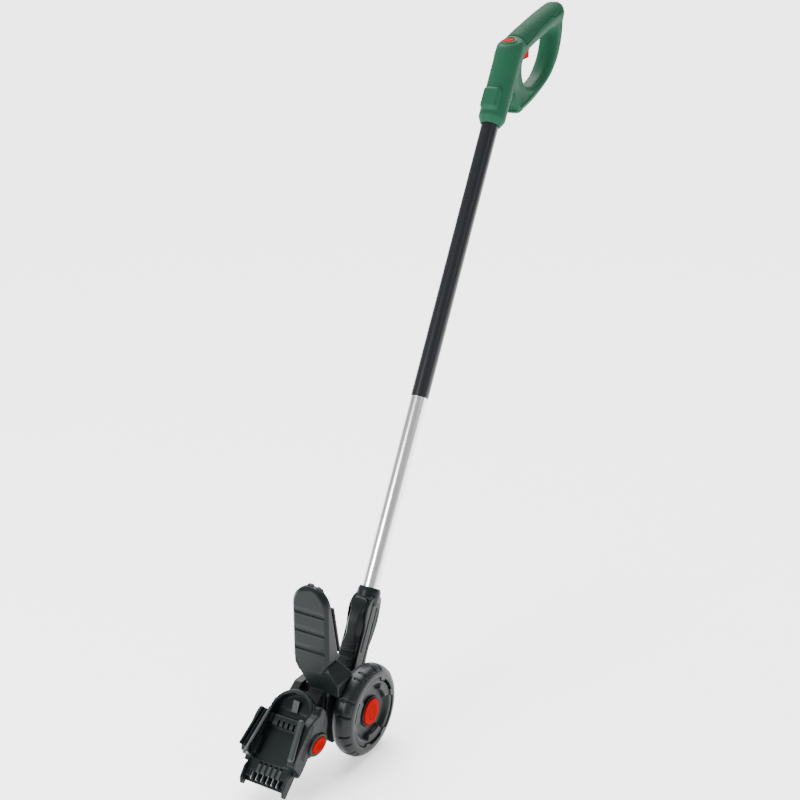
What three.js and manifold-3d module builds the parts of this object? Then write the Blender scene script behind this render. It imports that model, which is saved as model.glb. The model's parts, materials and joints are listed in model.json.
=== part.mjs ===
// Lawn edger: a telescopic wheeled pole with a D-shaped switch handle, an upright battery
// plate and a tilting tool tray. Millimetres, +Z up, wheel on +X, front towards -Y.
import * as THREE from 'three';
import { mergeVertices } from 'three/addons/utils/BufferGeometryUtils.js';
import Module from 'manifold-3d';

const wasm = await Module();
wasm.setup();

// ---------------------------------------------------------------- driving dimensions
const GAP = 0.3; // clearance between neighbouring pieces
const BIG = 900; // longer than anything it has to cut

const LEAN = 29; // the pole leans this far back from vertical, in degrees
const WHEEL_R = 63;
const WHEEL_X = 45; // middle of the tyre
const WHEEL_W = 33;
const HUB_SINK = 3; // the hub stands this far inside the tyre's outer side
const AXLE = [0, WHEEL_R]; // axle centre as (y, z)
const AXLE_R = 4;

// pole frame: x to the right, t behind the pole axis, s along the pole from the joint collar
const POLE_FOOT = [89.4, 194.2]; // (y, z) of s = 0
const UPPER_R = 12.75;
const UPPER_WALL = 0.5;
const LOWER_R = 11.95;
const LOWER_WALL = 0.9;
const UPPER_FROM = 274; // lower end of the dark tube
const UPPER_TO = 752;
const LOWER_FROM = -45;
const LOWER_TO = 336;
const COLLAR_S = 685; // lower end of the handle
const BODY_R = 20;
const GRIP_R = 17.5;
const LOOP_W = 31; // width of the loop across X
const TILT_POINT = [2, -128]; // tilt hinge between pole and head, as (t, s)
const EYE_R = 13;
const FORK_X = [10, 15.4]; // the two fork arms of the joint housing

// head
const PLATE_FRONT = -58; // front face of the battery plate, y
const PLATE_T = 11; // thickness at the top; it grows towards the foot
const PLATE_BACK_LOW = -34; // back face at the foot, y
const PLATE_HALF = 28;
const PLATE_TOP = 255;
const PLATE_FOOT = 133;
const HOOD_LOW = 109;

// tray frame: origin on the tray pivot, T up the floor, N out of the floor
const TRAY_PIVOT = [-106, 66];
const TRAY_TILT = 43;
const TRAY_HALF = 42; // outer face of the side cheeks
const FLOOR_N = 10;
const FLOOR_UNDER = 4;
const TRAY_TRAVEL = 16; // the tray tips this far, in degrees
const TRAY_LOW = -72;
const RAIL_N = 36;
const FLARE = 9; // each rail opens this much towards the lip, in degrees
const CONTACT_PITCH = 8;

// the grip is the origin of the finished part
const GRIP_POINT = [54, 869]; // (t, s)

// ---------------------------------------------------------------- colours
function paint(color, roughness, metalness = 0) {
  return { color, roughness, metalness };
}
const GREEN = paint(0x2f6b4b, 0.5);
const SOFT_GREEN = paint(0x35704f, 0.75);
const RED = paint(0xe0201c, 0.4);
const BLACK = paint(0x33383a, 0.5);
const DARK = paint(0x24282a, 0.6);
const TUBE_DARK = paint(0x2e3236, 0.35, 0.4);
const SILVER = paint(0xd5d7d8, 0.25, 0.9);
const STEEL = paint(0x9a9da0, 0.35, 1);
const RUBBER = paint(0x2b2f30, 0.8);

// ---------------------------------------------------------------- solid helpers
function solid(geometry) {
  const bare = geometry.clone();
  bare.deleteAttribute('normal');
  bare.deleteAttribute('uv');
  const merged = mergeVertices(bare, 1e-4);
  const mesh = new wasm.Mesh({
    numProp: 3,
    vertProperties: new Float32Array(merged.attributes.position.array),
    triVerts: new Uint32Array(merged.index.array),
  });
  return new wasm.Manifold(mesh);
}

function add(first, ...others) {
  return others.reduce((sum, other) => sum.add(other), first);
}

function cut(first, ...others) {
  return others.reduce((rest, other) => rest.subtract(other), first);
}

function box(x0, x1, y0, y1, z0, z1) {
  const g = new THREE.BoxGeometry(x1 - x0, y1 - y0, z1 - z0);
  g.translate((x0 + x1) / 2, (y0 + y1) / 2, (z0 + z1) / 2);
  return solid(g);
}

// a cylinder along X, Y or Z through a point
function rod(axis, radius, from, to, centre, segments = 24, radiusTo = radius) {
  const g = new THREE.CylinderGeometry(radiusTo, radius, to - from, segments);
  const middle = (from + to) / 2;
  if (axis === 'x') {
    g.rotateZ(-Math.PI / 2);
    g.translate(middle, centre[0], centre[1]);
  }
  if (axis === 'y') {
    g.translate(centre[0], middle, centre[1]);
  }
  if (axis === 'z') {
    g.rotateX(Math.PI / 2);
    g.translate(centre[0], centre[1], middle);
  }
  return solid(g);
}

function outline(points) {
  return new THREE.Shape(points.map(([a, b]) => new THREE.Vector2(a, b)));
}

// an outline with a rounded corner of the given radius at every point
function softOutline(points, radius) {
  const path = new THREE.Shape();
  const count = points.length;
  const at = (i) => new THREE.Vector2(...points[(i + count) % count]);
  for (let i = 0; i < count; i += 1) {
    const here = at(i);
    const before = at(i - 1).sub(here);
    const after = at(i + 1).sub(here);
    const reach = Math.min(radius, before.length() / 2.1, after.length() / 2.1);
    const start = here.clone().add(before.setLength(reach));
    const end = here.clone().add(after.setLength(reach));
    if (i === 0) {
      path.moveTo(start.x, start.y);
    } else {
      path.lineTo(start.x, start.y);
    }
    path.quadraticCurveTo(here.x, here.y, end.x, end.y);
  }
  return path;
}

function smoothLoop(points) {
  const curve = new THREE.CatmullRomCurve3(points.map(([a, b]) => new THREE.Vector3(a, b, 0)), true);
  return new THREE.Shape(curve.getPoints(points.length * 2).slice(0, -1)
    .map((p) => new THREE.Vector2(p.x, p.y)));
}

// a (y, z) outline given thickness from x0 to x1, with rounded rims when bevel is set
function plateX(shape, x0, x1, bevel = 0, steps = 2, curve = 3) {
  const g = new THREE.ExtrudeGeometry(shape, {
    depth: x1 - x0 - 2 * bevel,
    curveSegments: curve,
    bevelEnabled: bevel > 0,
    bevelThickness: bevel,
    bevelSize: bevel,
    bevelOffset: -bevel,
    bevelSegments: steps,
  });
  g.translate(0, 0, x0 + bevel);
  const toYZ = new THREE.Matrix4().makeBasis(
    new THREE.Vector3(0, 1, 0), new THREE.Vector3(0, 0, 1), new THREE.Vector3(1, 0, 0));
  g.applyMatrix4(toYZ);
  return solid(g);
}

// an (x, z) outline given thickness from y0 to y1
function plateY(shape, y0, y1, bevel = 0, steps = 2, curve = 6) {
  const g = new THREE.ExtrudeGeometry(shape, {
    depth: y1 - y0 - 2 * bevel,
    curveSegments: curve,
    bevelEnabled: bevel > 0,
    bevelThickness: bevel,
    bevelSize: bevel,
    bevelOffset: -bevel,
    bevelSegments: steps,
  });
  const toXZ = new THREE.Matrix4().makeBasis(
    new THREE.Vector3(1, 0, 0), new THREE.Vector3(0, 0, 1), new THREE.Vector3(0, -1, 0));
  g.applyMatrix4(toXZ);
  g.translate(0, y1 - bevel, 0);
  return solid(g);
}

// an (x, y) outline given thickness from z0 to z1
function plateZ(shape, z0, z1, bevel = 0, steps = 2, curve = 6) {
  const g = new THREE.ExtrudeGeometry(shape, {
    depth: z1 - z0 - 2 * bevel,
    curveSegments: curve,
    bevelEnabled: bevel > 0,
    bevelThickness: bevel,
    bevelSize: bevel,
    bevelOffset: -bevel,
    bevelSegments: steps,
  });
  g.translate(0, 0, z0 + bevel);
  return solid(g);
}

// a turned piece: profile points are (radius, height along the axis)
function turned(axis, profile, centre, segments = 32) {
  const g = new THREE.LatheGeometry(profile.map(([r, h]) => new THREE.Vector2(r, h)), segments);
  if (axis === 'x') {
    g.rotateZ(-Math.PI / 2);
    g.translate(0, centre[0], centre[1]);
  }
  if (axis === 'z') {
    g.rotateX(Math.PI / 2);
    g.translate(centre[0], centre[1], 0);
  }
  return solid(g);
}

function tube(outer, inner, from, to, segments = 28) {
  return cut(rod('z', outer, from, to, [0, 0], segments), rod('z', inner, from - 1, to + 1, [0, 0], segments));
}

// a section swept along a curve in the t-s plane
function sweep(points, radius, steps, sides = 20) {
  const path = new THREE.CatmullRomCurve3(points.map(([t, s]) => new THREE.Vector3(0, t, s)));
  const section = new THREE.Shape();
  section.absarc(0, 0, radius, 0, 2 * Math.PI);
  const g = new THREE.ExtrudeGeometry(section, {
    steps, extrudePath: path, bevelEnabled: false, curveSegments: sides,
  });
  return solid(g);
}

// a coil spring standing on z from 0 to length, made of one swept wire
function coil(radius, wire, length, turns) {
  class Helix extends THREE.Curve {
    getPoint(u) {
      const angle = 2 * Math.PI * turns * u;
      const rise = wire + (length - 2 * wire) * u;
      return new THREE.Vector3(radius * Math.cos(angle), radius * Math.sin(angle), rise);
    }
  }
  const section = new THREE.Shape();
  section.absarc(0, 0, wire, 0, 2 * Math.PI);
  return new THREE.ExtrudeGeometry(section, {
    steps: turns * 8, extrudePath: new Helix(), bevelEnabled: false, curveSegments: 2,
  });
}

function placed(geometry, position, turn = [0, 0, 0]) {
  geometry.rotateX(turn[0]);
  geometry.rotateY(turn[1]);
  geometry.rotateZ(turn[2]);
  geometry.translate(...position);
  return solid(geometry);
}

function part(group, name, shape, look) {
  const data = shape.getMesh();
  const g = new THREE.BufferGeometry();
  g.setAttribute('position', new THREE.BufferAttribute(new Float32Array(data.vertProperties), 3));
  g.setIndex(new THREE.BufferAttribute(new Uint32Array(data.triVerts), 1));
  g.computeVertexNormals();
  const mesh = new THREE.Mesh(g, new THREE.MeshStandardMaterial(look));
  mesh.name = name;
  group.add(mesh);
}

const rad = THREE.MathUtils.degToRad;

// ---------------------------------------------------------------- frames
const lawnEdger = new THREE.Group();
const head = new THREE.Group();
const pole = new THREE.Group();
const tray = new THREE.Group();
pole.position.set(0, ...POLE_FOOT);
pole.rotation.x = -rad(LEAN);
tray.position.set(0, ...TRAY_PIVOT);
tray.rotation.x = rad(TRAY_TILT);
lawnEdger.add(head, pole, tray);

// a point of the t-s plane in the (y, z) plane of the head
function poleToHead([t, s]) {
  const y = POLE_FOOT[0] + t * Math.cos(rad(LEAN)) + s * Math.sin(rad(LEAN));
  const z = POLE_FOOT[1] - t * Math.sin(rad(LEAN)) + s * Math.cos(rad(LEAN));
  return [y, z];
}
const TILT_PIVOT = poleToHead(TILT_POINT);

// ---------------------------------------------------------------- handle
const TRIGGER_PIVOT = [22, 822];
const TRIGGER_PULL = 10; // degrees
const BUTTON_SEAT = [-8, 810]; // middle of the lock-off button, in (t, s)
const BUTTON_LIE = 44; // the button faces this far forward of the pole axis
const SWITCH_BOX = [38, 56, 853, 866]; // t and s range of the switch
const SCREW_SPOTS = [[0, 772], [28, 748], [98, 792], [124, 868], [88, 905]];

const LOOP_OUTER = [
  [8, 730], [48, 729], [60, 731], [68, 740], [92, 768], [121, 812], [132, 845], [133, 872],
  [126, 900], [114, 918], [98, 922], [78, 906], [40, 862], [6, 824], [-2, 790],
];
const LOOP_HOLE = [
  [27, 800], [31, 785], [42, 775.5], [58, 774], [76, 782], [91, 799], [102.5, 818],
  [108, 845], [106, 866], [99, 882], [88, 882], [66, 858], [38, 826],
];

function oval(halfX, halfY) {
  const shape = new THREE.Shape();
  shape.absellipse(0, 0, halfX, halfY, 0, 2 * Math.PI);
  return shape;
}

// a Z-standing plate tipped so that its axis is the lock-off button's line of travel
function tippedPlate(shape, from, to, bevel = 0) {
  return plateZ(shape, from, to, bevel, 2, 8).rotate([BUTTON_LIE, 0, 0]).translate([0, ...BUTTON_SEAT]);
}

function handleBlank() {
  const hole = smoothLoop(LOOP_HOLE);
  const ring = smoothLoop(LOOP_OUTER);
  ring.holes.push(hole);
  const loop = plateX(ring, -LOOP_W / 2, LOOP_W / 2, 7, 2);
  const bar = sweep([[0, 792], [14, 818], [56, 867], [92, 906], [104, 917]], GRIP_R, 12, 10);
  const body = turned('z', [
    [0, COLLAR_S], [15.5, COLLAR_S], [19.2, COLLAR_S + 6], [BODY_R, COLLAR_S + 12],
    [BODY_R, 800], [17, 813], [10, 821], [0, 824],
  ], [0, 0], 32);
  const boss = plateX(softOutline([[-24.5, 704], [-25.5, 726], [-19, 735], [-8, 735], [-8, 702]], 5),
    -13, 13, 1.8, 1);
  const bezel = tippedPlate(oval(13, 11), -14, 4, 2.5);
  return add(loop, bar, body, boss, bezel);
}

function triggerOutline() {
  return softOutline([
    [17, 817], [40, 806], [53, 817], [56, 836], [44, 845], [24, 829],
  ], 4);
}

// room for the trigger over its whole pull
function triggerWell() {
  const wells = [0, 0.5, 1].map((pull) => plateX(softOutline([
    [13, 816], [40, 802], [57, 816], [60, 838], [44, 848.5], [21, 832],
  ], 4), -7.6, 7.6)
    .translate([0, -TRIGGER_PIVOT[0], -TRIGGER_PIVOT[1]])
    .rotate([pull * TRIGGER_PULL, 0, 0])
    .translate([0, ...TRIGGER_PIVOT]));
  return add(...wells);
}

function handleHollows() {
  const socket = rod('z', UPPER_R + GAP, COLLAR_S - 5, UPPER_TO + 1, [0, 0], 32);
  const switchWell = box(-8.5, 8.5, SWITCH_BOX[0] - 1, SWITCH_BOX[1] + 1, 846, SWITCH_BOX[3] + 1);
  const buttonWell = tippedPlate(oval(9.5, 7.5), -20, 10);
  const buttonFoot = tippedPlate(oval(11.5, 9.5), -20, -6);
  const pinHole = rod('x', 2.3, -12, 12, TRIGGER_PIVOT, 12);
  const hollows = [socket, triggerWell(), switchWell, buttonWell, buttonFoot, pinHole];
  for (const spot of SCREW_SPOTS) {
    hollows.push(rod('x', 2.2, -13, 9, spot, 12));
    hollows.push(rod('x', 4.2, -30, -9, spot, 16));
  }
  return hollows;
}

// the soft pad wraps the top and both flanks of the grip bar
const PAD_PATH = [[26, 832], [56, 867], [87, 901]];
const PAD_PATH_LONG = [[20, 825], [56, 867], [93, 908]];

function padUnderCut() {
  return plateX(outline([[20, 818], [100, 899], [118, 899], [118, 800], [20, 800]]), -30, 30);
}

function gripPad(swell) {
  const skin = sweep(PAD_PATH, GRIP_R + 0.9 + swell * 6, 8, 12);
  const core = sweep(PAD_PATH_LONG, GRIP_R - 1.4 - swell, 8, 12);
  return cut(skin, core, padUnderCut());
}

function buildShells() {
  const body = cut(handleBlank(), ...handleHollows(), gripPad(GAP));
  part(pole, 'handle_shell_right', cut(body, box(-BIG, GAP / 2, -BIG, BIG, 0, 2 * BIG)), GREEN);
  part(pole, 'handle_shell_left', cut(body, box(-GAP / 2, BIG, -BIG, BIG, 0, 2 * BIG)), GREEN);
  part(pole, 'grip_pad', gripPad(0), SOFT_GREEN);
}

function buildTrigger() {
  const blade = plateX(triggerOutline(), -7, 7, 1, 1);
  const bore = rod('x', 2.3, -10, 10, TRIGGER_PIVOT, 12);
  part(pole, 'trigger', cut(blade, bore), RED);
  part(pole, 'trigger_pin', rod('x', 2, -11.5, 11.5, TRIGGER_PIVOT, 12), STEEL);
}

function buildLockOff() {
  const cap = tippedPlate(oval(9, 7), -6, 5, 1.5);
  const foot = tippedPlate(oval(11, 9), -11, -7);
  const stem = tippedPlate(oval(4, 4), -7.5, -5.5);
  part(pole, 'lock_off_button', add(cap, foot, stem), RED);
  const spring = placed(coil(3.5, 0.5, 8.2, 4), [0, 0, -19.6]).rotate([BUTTON_LIE, 0, 0]);
  part(pole, 'lock_off_spring', spring.translate([0, ...BUTTON_SEAT]), STEEL);
}

function buildSwitch() {
  const [t0, t1, s0, s1] = SWITCH_BOX;
  part(pole, 'switch_block', box(-8, 8, t0, t1, s0, s1), DARK);
  part(pole, 'trigger_spring', placed(coil(2.6, 0.45, 5.6, 3), [0, 34.2, 837.6], [rad(38.7), 0, 0]), STEEL);
}

function screwSolid([t, s]) {
  const shank = rod('x', 1.6, -8.4, 8, [t, s], 10);
  const crown = rod('x', 3.6, -11.6, -9.3, [t, s], 16);
  const neck = rod('x', 1.6, -9.4, -8.3, [t, s], 10);
  const slot = box(-12, -10.9, t - 0.5, t + 0.5, s - 3, s + 3);
  return cut(add(shank, neck, crown), slot);
}

function buildHandleParts() {
  part(pole, 'upper_tube', tube(UPPER_R, UPPER_R - UPPER_WALL, UPPER_FROM, UPPER_TO), TUBE_DARK);
  SCREW_SPOTS.forEach((spot, i) => part(pole, `handle_screw_${i + 1}`, screwSolid(spot), STEEL));
}

// ---------------------------------------------------------------- lower pole and joint housing
const LEVER_PIVOT = [-16.6, -30];
const LEVER_HALF = 12.6;
const LEVER_SPRING_S = -88;
const HOUSING_SCREWS = [[14.2, -38], [4, -82]];

function buildLowerTube() {
  const plugR = LOWER_R - LOWER_WALL - GAP;
  part(pole, 'lower_tube', tube(LOWER_R, LOWER_R - LOWER_WALL, LOWER_FROM, LOWER_TO), SILVER);
  const spindle = turned('z', [
    [0, LOWER_TO - 22], [plugR, LOWER_TO - 22], [plugR, LOWER_TO + GAP], [LOWER_R, LOWER_TO + GAP],
    [LOWER_R, LOWER_TO + 6], [9, LOWER_TO + 8], [9, LOWER_TO + 26], [0, LOWER_TO + 26],
  ], [0, 0]);
  part(pole, 'lock_spindle', spindle, DARK);
  const wedge = turned('z', [
    [9.5, LOWER_TO + 9], [LOWER_R, LOWER_TO + 11], [LOWER_R, LOWER_TO + 24], [9.5, LOWER_TO + 25],
    [9.5, LOWER_TO + 9],
  ], [0, 0]);
  part(pole, 'lock_wedge', cut(wedge, box(-1, 1, 0, 20, LOWER_TO, LOWER_TO + 40)), BLACK);
}

// collar, spine with a hand-sized swell behind, and the fork that holds the tilt pin
function housingBlank() {
  const collar = turned('z', [
    [0, -24], [16.2, -24], [16.6, -12], [16.6, -5], [14.6, 0], [0, 0],
  ], [0, 0]);
  const spine = plateX(softOutline([
    [-12, -13], [8, -10], [14, -14], [17, -28], [18.5, -46], [16, -66], [13, -84], [15, -128],
    [-6, -134], [-11, -120], [-13, -100], [-13.5, -56], [-17.5, -42], [-18.8, -27],
  ], 8), -FORK_X[1], FORK_X[1], 1.2, 1);
  const eye = rod('x', EYE_R, -FORK_X[1], FORK_X[1], TILT_POINT, 24);
  return add(collar, spine, eye);
}

function housingHollows() {
  const well = LEVER_HALF + 0.4;
  const hollows = [
    rod('z', LOWER_R + GAP, LOWER_FROM - GAP, 5, [0, 0], 32),
    rod('x', AXLE_R + GAP, -20, 20, TILT_POINT, 20),
    box(-FORK_X[0], FORK_X[0], -40, 40, -150, -107),
    // the well behind the release lever, deep enough for its travel
    box(-well, well, -40, -7.2, -150, -47),
    box(-well, well, -40, -12.1, -48, -14),
    rod('x', 2.3, -14.2, 14.2, LEVER_PIVOT, 12),
    rod('y', 4.6, -9, -1.5, [0, LEVER_SPRING_S], 16),
  ];
  for (const spot of HOUSING_SCREWS) {
    hollows.push(rod('x', 2.2, -13, 11, spot, 12));
    hollows.push(rod('x', 4.2, -30, -9, spot, 16));
  }
  return hollows;
}

function buildHousing() {
  const body = cut(housingBlank(), ...housingHollows());
  part(pole, 'joint_housing_right', cut(body, box(-BIG, GAP / 2, -BIG, BIG, -BIG, BIG)), BLACK);
  part(pole, 'joint_housing_left', cut(body, box(-GAP / 2, BIG, -BIG, BIG, -BIG, BIG)), BLACK);
  HOUSING_SCREWS.forEach((spot, i) => part(pole, `housing_screw_${i + 1}`, screwSolid(spot), STEEL));
  part(pole, 'tilt_pin', rod('x', AXLE_R, -FORK_X[1] + 0.5, FORK_X[1] - 0.5, TILT_POINT, 20), STEEL);
}

// the release lever bulges at the thumb and ends in stepped ribs
function buildReleaseLever() {
  const profile = softOutline([
    [-13.2, -25], [-17, -21], [-21.5, -30], [-24, -46], [-21, -66], [-18.5, -80],
    [-16.5, -118], [-12.8, -118], [-13, -60],
  ], 3);
  let lever = plateX(profile, -LEVER_HALF, LEVER_HALF);
  for (let i = 0; i < 3; i += 1) {
    lever = cut(lever, box(-20, 20, -30, -17 + 0.4 * i, -89 - 11 * i, -86 - 11 * i));
  }
  const lug = rod('x', 3.6, -LEVER_HALF, LEVER_HALF, LEVER_PIVOT, 16);
  const bore = rod('x', 2.3, -20, 20, LEVER_PIVOT, 12);
  const post = rod('y', 2.4, -14.5, -11.5, [0, LEVER_SPRING_S], 12);
  part(pole, 'release_lever', cut(add(lever, lug, post), bore), BLACK);
  part(pole, 'release_lever_pin', rod('x', 2, -14, 14, LEVER_PIVOT, 12), STEEL);
  const spring = coil(3.2, 0.45, 8.6, 4);
  part(pole, 'release_lever_spring', placed(spring, [0, -2.3, LEVER_SPRING_S], [Math.PI / 2, 0, 0]), STEEL);
}

// ---------------------------------------------------------------- head
const TONGUE_HALF = 9.6;
const LEG_LEFT = [-30, -17];
const LEG_RIGHT = [-3, 19];
const LEG_EYE = 8.5;
const ARM_X = [18.5, 24.5];
const RAIL_SPAN = [158, 226]; // lowest and highest z of the battery rails

function plateFront() {
  const arch = new THREE.Shape();
  arch.moveTo(-18, PLATE_FOOT);
  arch.lineTo(18, PLATE_FOOT);
  arch.lineTo(PLATE_HALF, PLATE_FOOT + 18);
  arch.lineTo(PLATE_HALF, PLATE_TOP - PLATE_HALF);
  arch.absarc(0, PLATE_TOP - PLATE_HALF, PLATE_HALF, 0, Math.PI);
  arch.lineTo(-PLATE_HALF, PLATE_FOOT + 18);
  return arch;
}

// points on the sloping back face of the plate, moved out by a distance, between two heights
function backStrip(from, to, low, high) {
  const top = PLATE_FRONT + PLATE_T;
  const at = (z) => top + (PLATE_BACK_LOW - top) * ((RAIL_SPAN[1] - z) / (RAIL_SPAN[1] - RAIL_SPAN[0]));
  return outline([[at(high) + from, high], [at(high) + to, high], [at(low) + to, low], [at(low) + from, low]]);
}

function backPad() {
  return plateX(backStrip(-1, 0.8, 172, 222), -16, 16);
}

function buildBatteryPlate() {
  const blank = plateY(plateFront(), PLATE_FRONT, PLATE_BACK_LOW, 1.5, 1, 12);
  const behind = plateX(outline([
    [PLATE_FRONT + PLATE_T, PLATE_TOP + 5], [PLATE_FRONT + PLATE_T, 226], [PLATE_BACK_LOW, 158],
    [PLATE_BACK_LOW, 150], [PLATE_FRONT + 8, PLATE_FOOT - 5], [0, PLATE_FOOT - 5], [0, PLATE_TOP + 5],
  ]), -60, 60);
  const plate = cut(blank, behind);
  const inner = new THREE.Shape();
  const half = PLATE_HALF - 5;
  inner.moveTo(-half, PLATE_FOOT + 22);
  inner.lineTo(half, PLATE_FOOT + 22);
  inner.lineTo(half, PLATE_TOP - PLATE_HALF);
  inner.absarc(0, PLATE_TOP - PLATE_HALF, half, 0, Math.PI);
  let recess = plateY(inner, PLATE_FRONT - 5, PLATE_FRONT + 2, 0, 1, 10);
  for (let i = 0; i < 3; i += 1) {
    recess = cut(recess, box(-30, 30, PLATE_FRONT, PLATE_FRONT + 5, 164 + 26 * i, 166.5 + 26 * i));
  }
  part(head, 'battery_plate', add(cut(plate, recess), backPad()), BLACK);
}

function buildBatteryRails() {
  const [low, high] = RAIL_SPAN;
  for (const side of [-1, 1]) {
    const web = plateX(backStrip(GAP, 8, low, high), side > 0 ? 19 : -23, side > 0 ? 23 : -19);
    const lip = plateX(backStrip(4.2, 8, low, high), side > 0 ? 19 : -27.5, side > 0 ? 27.5 : -19);
    part(head, side > 0 ? 'battery_rail_right' : 'battery_rail_left', add(web, lip), DARK);
  }
  part(head, 'battery_terminal_block', plateX(backStrip(GAP, 8, low, low + 9), -18, 18), DARK);
}

// the space the tray takes above its floor when it is tilted by an angle
function trayRoom(angle) {
  return box(-60, 60, -90, 57, FLOOR_UNDER - GAP, 90)
    .rotate([TRAY_TILT + angle, 0, 0]).translate([0, ...TRAY_PIVOT]);
}

// the hood carries the plate and closes the space between it, the wheel and the tilt joint
function buildYoke() {
  const front = new THREE.Shape();
  front.moveTo(-18, PLATE_FOOT - GAP);
  front.lineTo(-2, HOOD_LOW);
  front.lineTo(60, HOOD_LOW - 3);
  front.lineTo(60, 170);
  front.lineTo(28.6, 170);
  front.lineTo(28.6, PLATE_FOOT + 18 - GAP);
  front.lineTo(18.3, PLATE_FOOT - GAP);
  const wedge = plateX(softOutline([
    [-57, 140], [-54, HOOD_LOW - 2], [-12, 92], [-5, 104], [-15, 120], [-33, 156], [-46, 158],
  ], 3), -19, 42);
  const hood = wedge.intersect(plateY(front, -70, 10));
  const tongue = add(
    plateX(softOutline([
      [-32, 108], [-12, 103], [4, 91], [TILT_PIVOT[0] - 8, TILT_PIVOT[1] + EYE_R - 4],
      [TILT_PIVOT[0] - 4, TILT_PIVOT[1] - EYE_R + 1], [-6, 74], [-30, 90],
    ], 4), -TONGUE_HALF, TONGUE_HALF),
    rod('x', EYE_R, -TONGUE_HALF, TONGUE_HALF, TILT_PIVOT, 24),
  );
  const leg = ([from, to]) => {
    const [y, z] = TRAY_PIVOT;
    const beam = plateX(outline([
      [-52, HOOD_LOW + 2], [-30, HOOD_LOW + 2], [-34, 92], [y + 4, z - 7], [y - 4, z + 7],
    ]), from, to);
    return add(cut(beam, trayRoom(0), trayRoom(TRAY_TRAVEL)), rod('x', LEG_EYE, from, to, TRAY_PIVOT, 20));
  };
  const arm = plateX(softOutline([
    [-44, HOOD_LOW + 2], [-8, 104], [14, 76], [14, 52], [-10, 27], [-28, 16], [-48, 30], [-58, 44], [-58, 86],
  ], 6), ...ARM_X);
  const boss = rod('x', 13, ARM_X[0], ARM_X[1] + 1.8, AXLE, 24);
  const bridge = box(LEG_LEFT[0] + 1, ARM_X[1] - 1, -46, -31, 93, HOOD_LOW);
  const shape = add(hood, tongue, bridge, leg(LEG_LEFT), leg(LEG_RIGHT), arm, boss);
  part(head, 'head_bracket', cut(shape,
    rod('x', WHEEL_R + 2.5, ARM_X[1] + 1.8, 80, AXLE, 40),
    rod('x', AXLE_R + GAP, 0, 60, AXLE, 20),
    rod('x', AXLE_R + GAP, -30, 30, TILT_PIVOT, 20),
    rod('x', AXLE_R + GAP, -50, 50, TRAY_PIVOT, 20),
  ), BLACK);
}

// ---------------------------------------------------------------- wheel
const RIM_R = 46.6;
const GROOVE_HALF = 1.5;
// tread grooves of one third of the tyre: angle from +Y, and the x where each starts
const GROOVES = [[142, 42], [161, 42], [189, 51], [223, 51], [234, 51]];
const POCKET = [[22, -8], [22, 8], [28, 13], [38, 10], [38, -10], [28, -13]]; // hub pocket on the +Y side
const POCKET_TURN = 31; // angle of the first hub pocket from +Y

function turnedRing(profile, centre, segments = 36) {
  return turned('x', [...profile, profile[0]], centre, segments);
}

function buildWheel() {
  const x0 = WHEEL_X - WHEEL_W / 2;
  const x1 = WHEEL_X + WHEEL_W / 2;
  const hub = x1 - HUB_SINK;
  let tyre = turnedRing([
    [RIM_R + 0.4, x0 + 2], [52, x0], [57, x0 + 2.5], [61, x0 + 8], [WHEEL_R, x0 + 14],
    [WHEEL_R, x1 - 14], [61, x1 - 8], [57, x1 - 2.5], [52, x1], [RIM_R + 0.4, x1 - 1],
  ], AXLE, 40);
  for (let third = 0; third < 3; third += 1) {
    for (const [turn, from] of GROOVES) {
      const slot = box(from, WHEEL_X + 12, WHEEL_R - 3.4, WHEEL_R + 5, -GROOVE_HALF, GROOVE_HALF);
      tyre = cut(tyre, slot.rotate([turn + 120 * third, 0, 0]).translate([0, ...AXLE]));
    }
  }
  part(head, 'tyre', tyre, RUBBER);
  let rim = turnedRing([
    [AXLE_R + 0.5, x0 + 4], [12, x0 + 4], [14, x0 + 8], [40, x0 + 8], [42, x0 + 3], [RIM_R, x0 + 3],
    [RIM_R, x1 - 1.5], [43, x1 - 1.5], [36, hub - 6], [22, hub - 5], [19, hub - 2], [AXLE_R + 0.5, hub - 2],
  ], AXLE, 36);
  for (let i = 0; i < 3; i += 1) {
    const pocket = plateX(softOutline(POCKET, 3), hub - 12, x1);
    rim = cut(rim, pocket.rotate([POCKET_TURN + 120 * i, 0, 0]).translate([0, ...AXLE]));
  }
  const well = rod('x', 9.4, hub - 8, hub + 5, AXLE, 24);
  part(head, 'wheel_rim', cut(rim, well), BLACK);
  const cap = turned('x', [
    [0, hub - 1.6], [18.3, hub - 1.6], [18.3, hub - 0.4], [15, hub + 1], [8, hub + 1.6], [0, hub + 1.8],
  ], AXLE, 32);
  part(head, 'hub_cap', cap, RED);
  const axle = add(
    rod('x', AXLE_R, ARM_X[0] - 3, hub - 2.4, AXLE, 20),
    rod('x', 7, ARM_X[0] - 4, ARM_X[0] - GAP, AXLE, 20),
  );
  const clipGroove = cut(rod('x', 6, hub - 5, hub - 3.8, AXLE, 20), rod('x', 3.2, hub - 6, hub, AXLE, 20));
  part(head, 'wheel_axle', cut(axle, clipGroove), STEEL);
  const clip = cut(
    rod('x', 7, hub - 4.7, hub - 4.1, AXLE, 20),
    rod('x', 3.5, hub - 6, hub - 3, AXLE, 16),
    box(hub - 6, hub - 3, -1.8, 1.8, AXLE[1] + 1, AXLE[1] + 9),
  );
  part(head, 'axle_clip', clip, STEEL);
  const washer = cut(
    rod('x', 8.6, hub - 7.4, hub - 5.4, AXLE, 24),
    rod('x', AXLE_R + GAP, hub - 9, hub, AXLE, 20),
  );
  part(head, 'axle_washer', washer, STEEL);
}

// ---------------------------------------------------------------- tray
const ARCH_T = 22.5; // centre of the tray's round end
const ARCH_N = 23.5; // its wall is this high, lower than the rails
const WALL = 3.5;
const CHEEK_DISC = [9, 19];
const CHEEK_R = 34;
const SHAFT_END = 34.5;
const BUTTON_WELL = 35; // floor of the side button's well, x
const BUTTON_HALF = [14.2, 9.8];
const OVAL_STEPS = 12;

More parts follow.
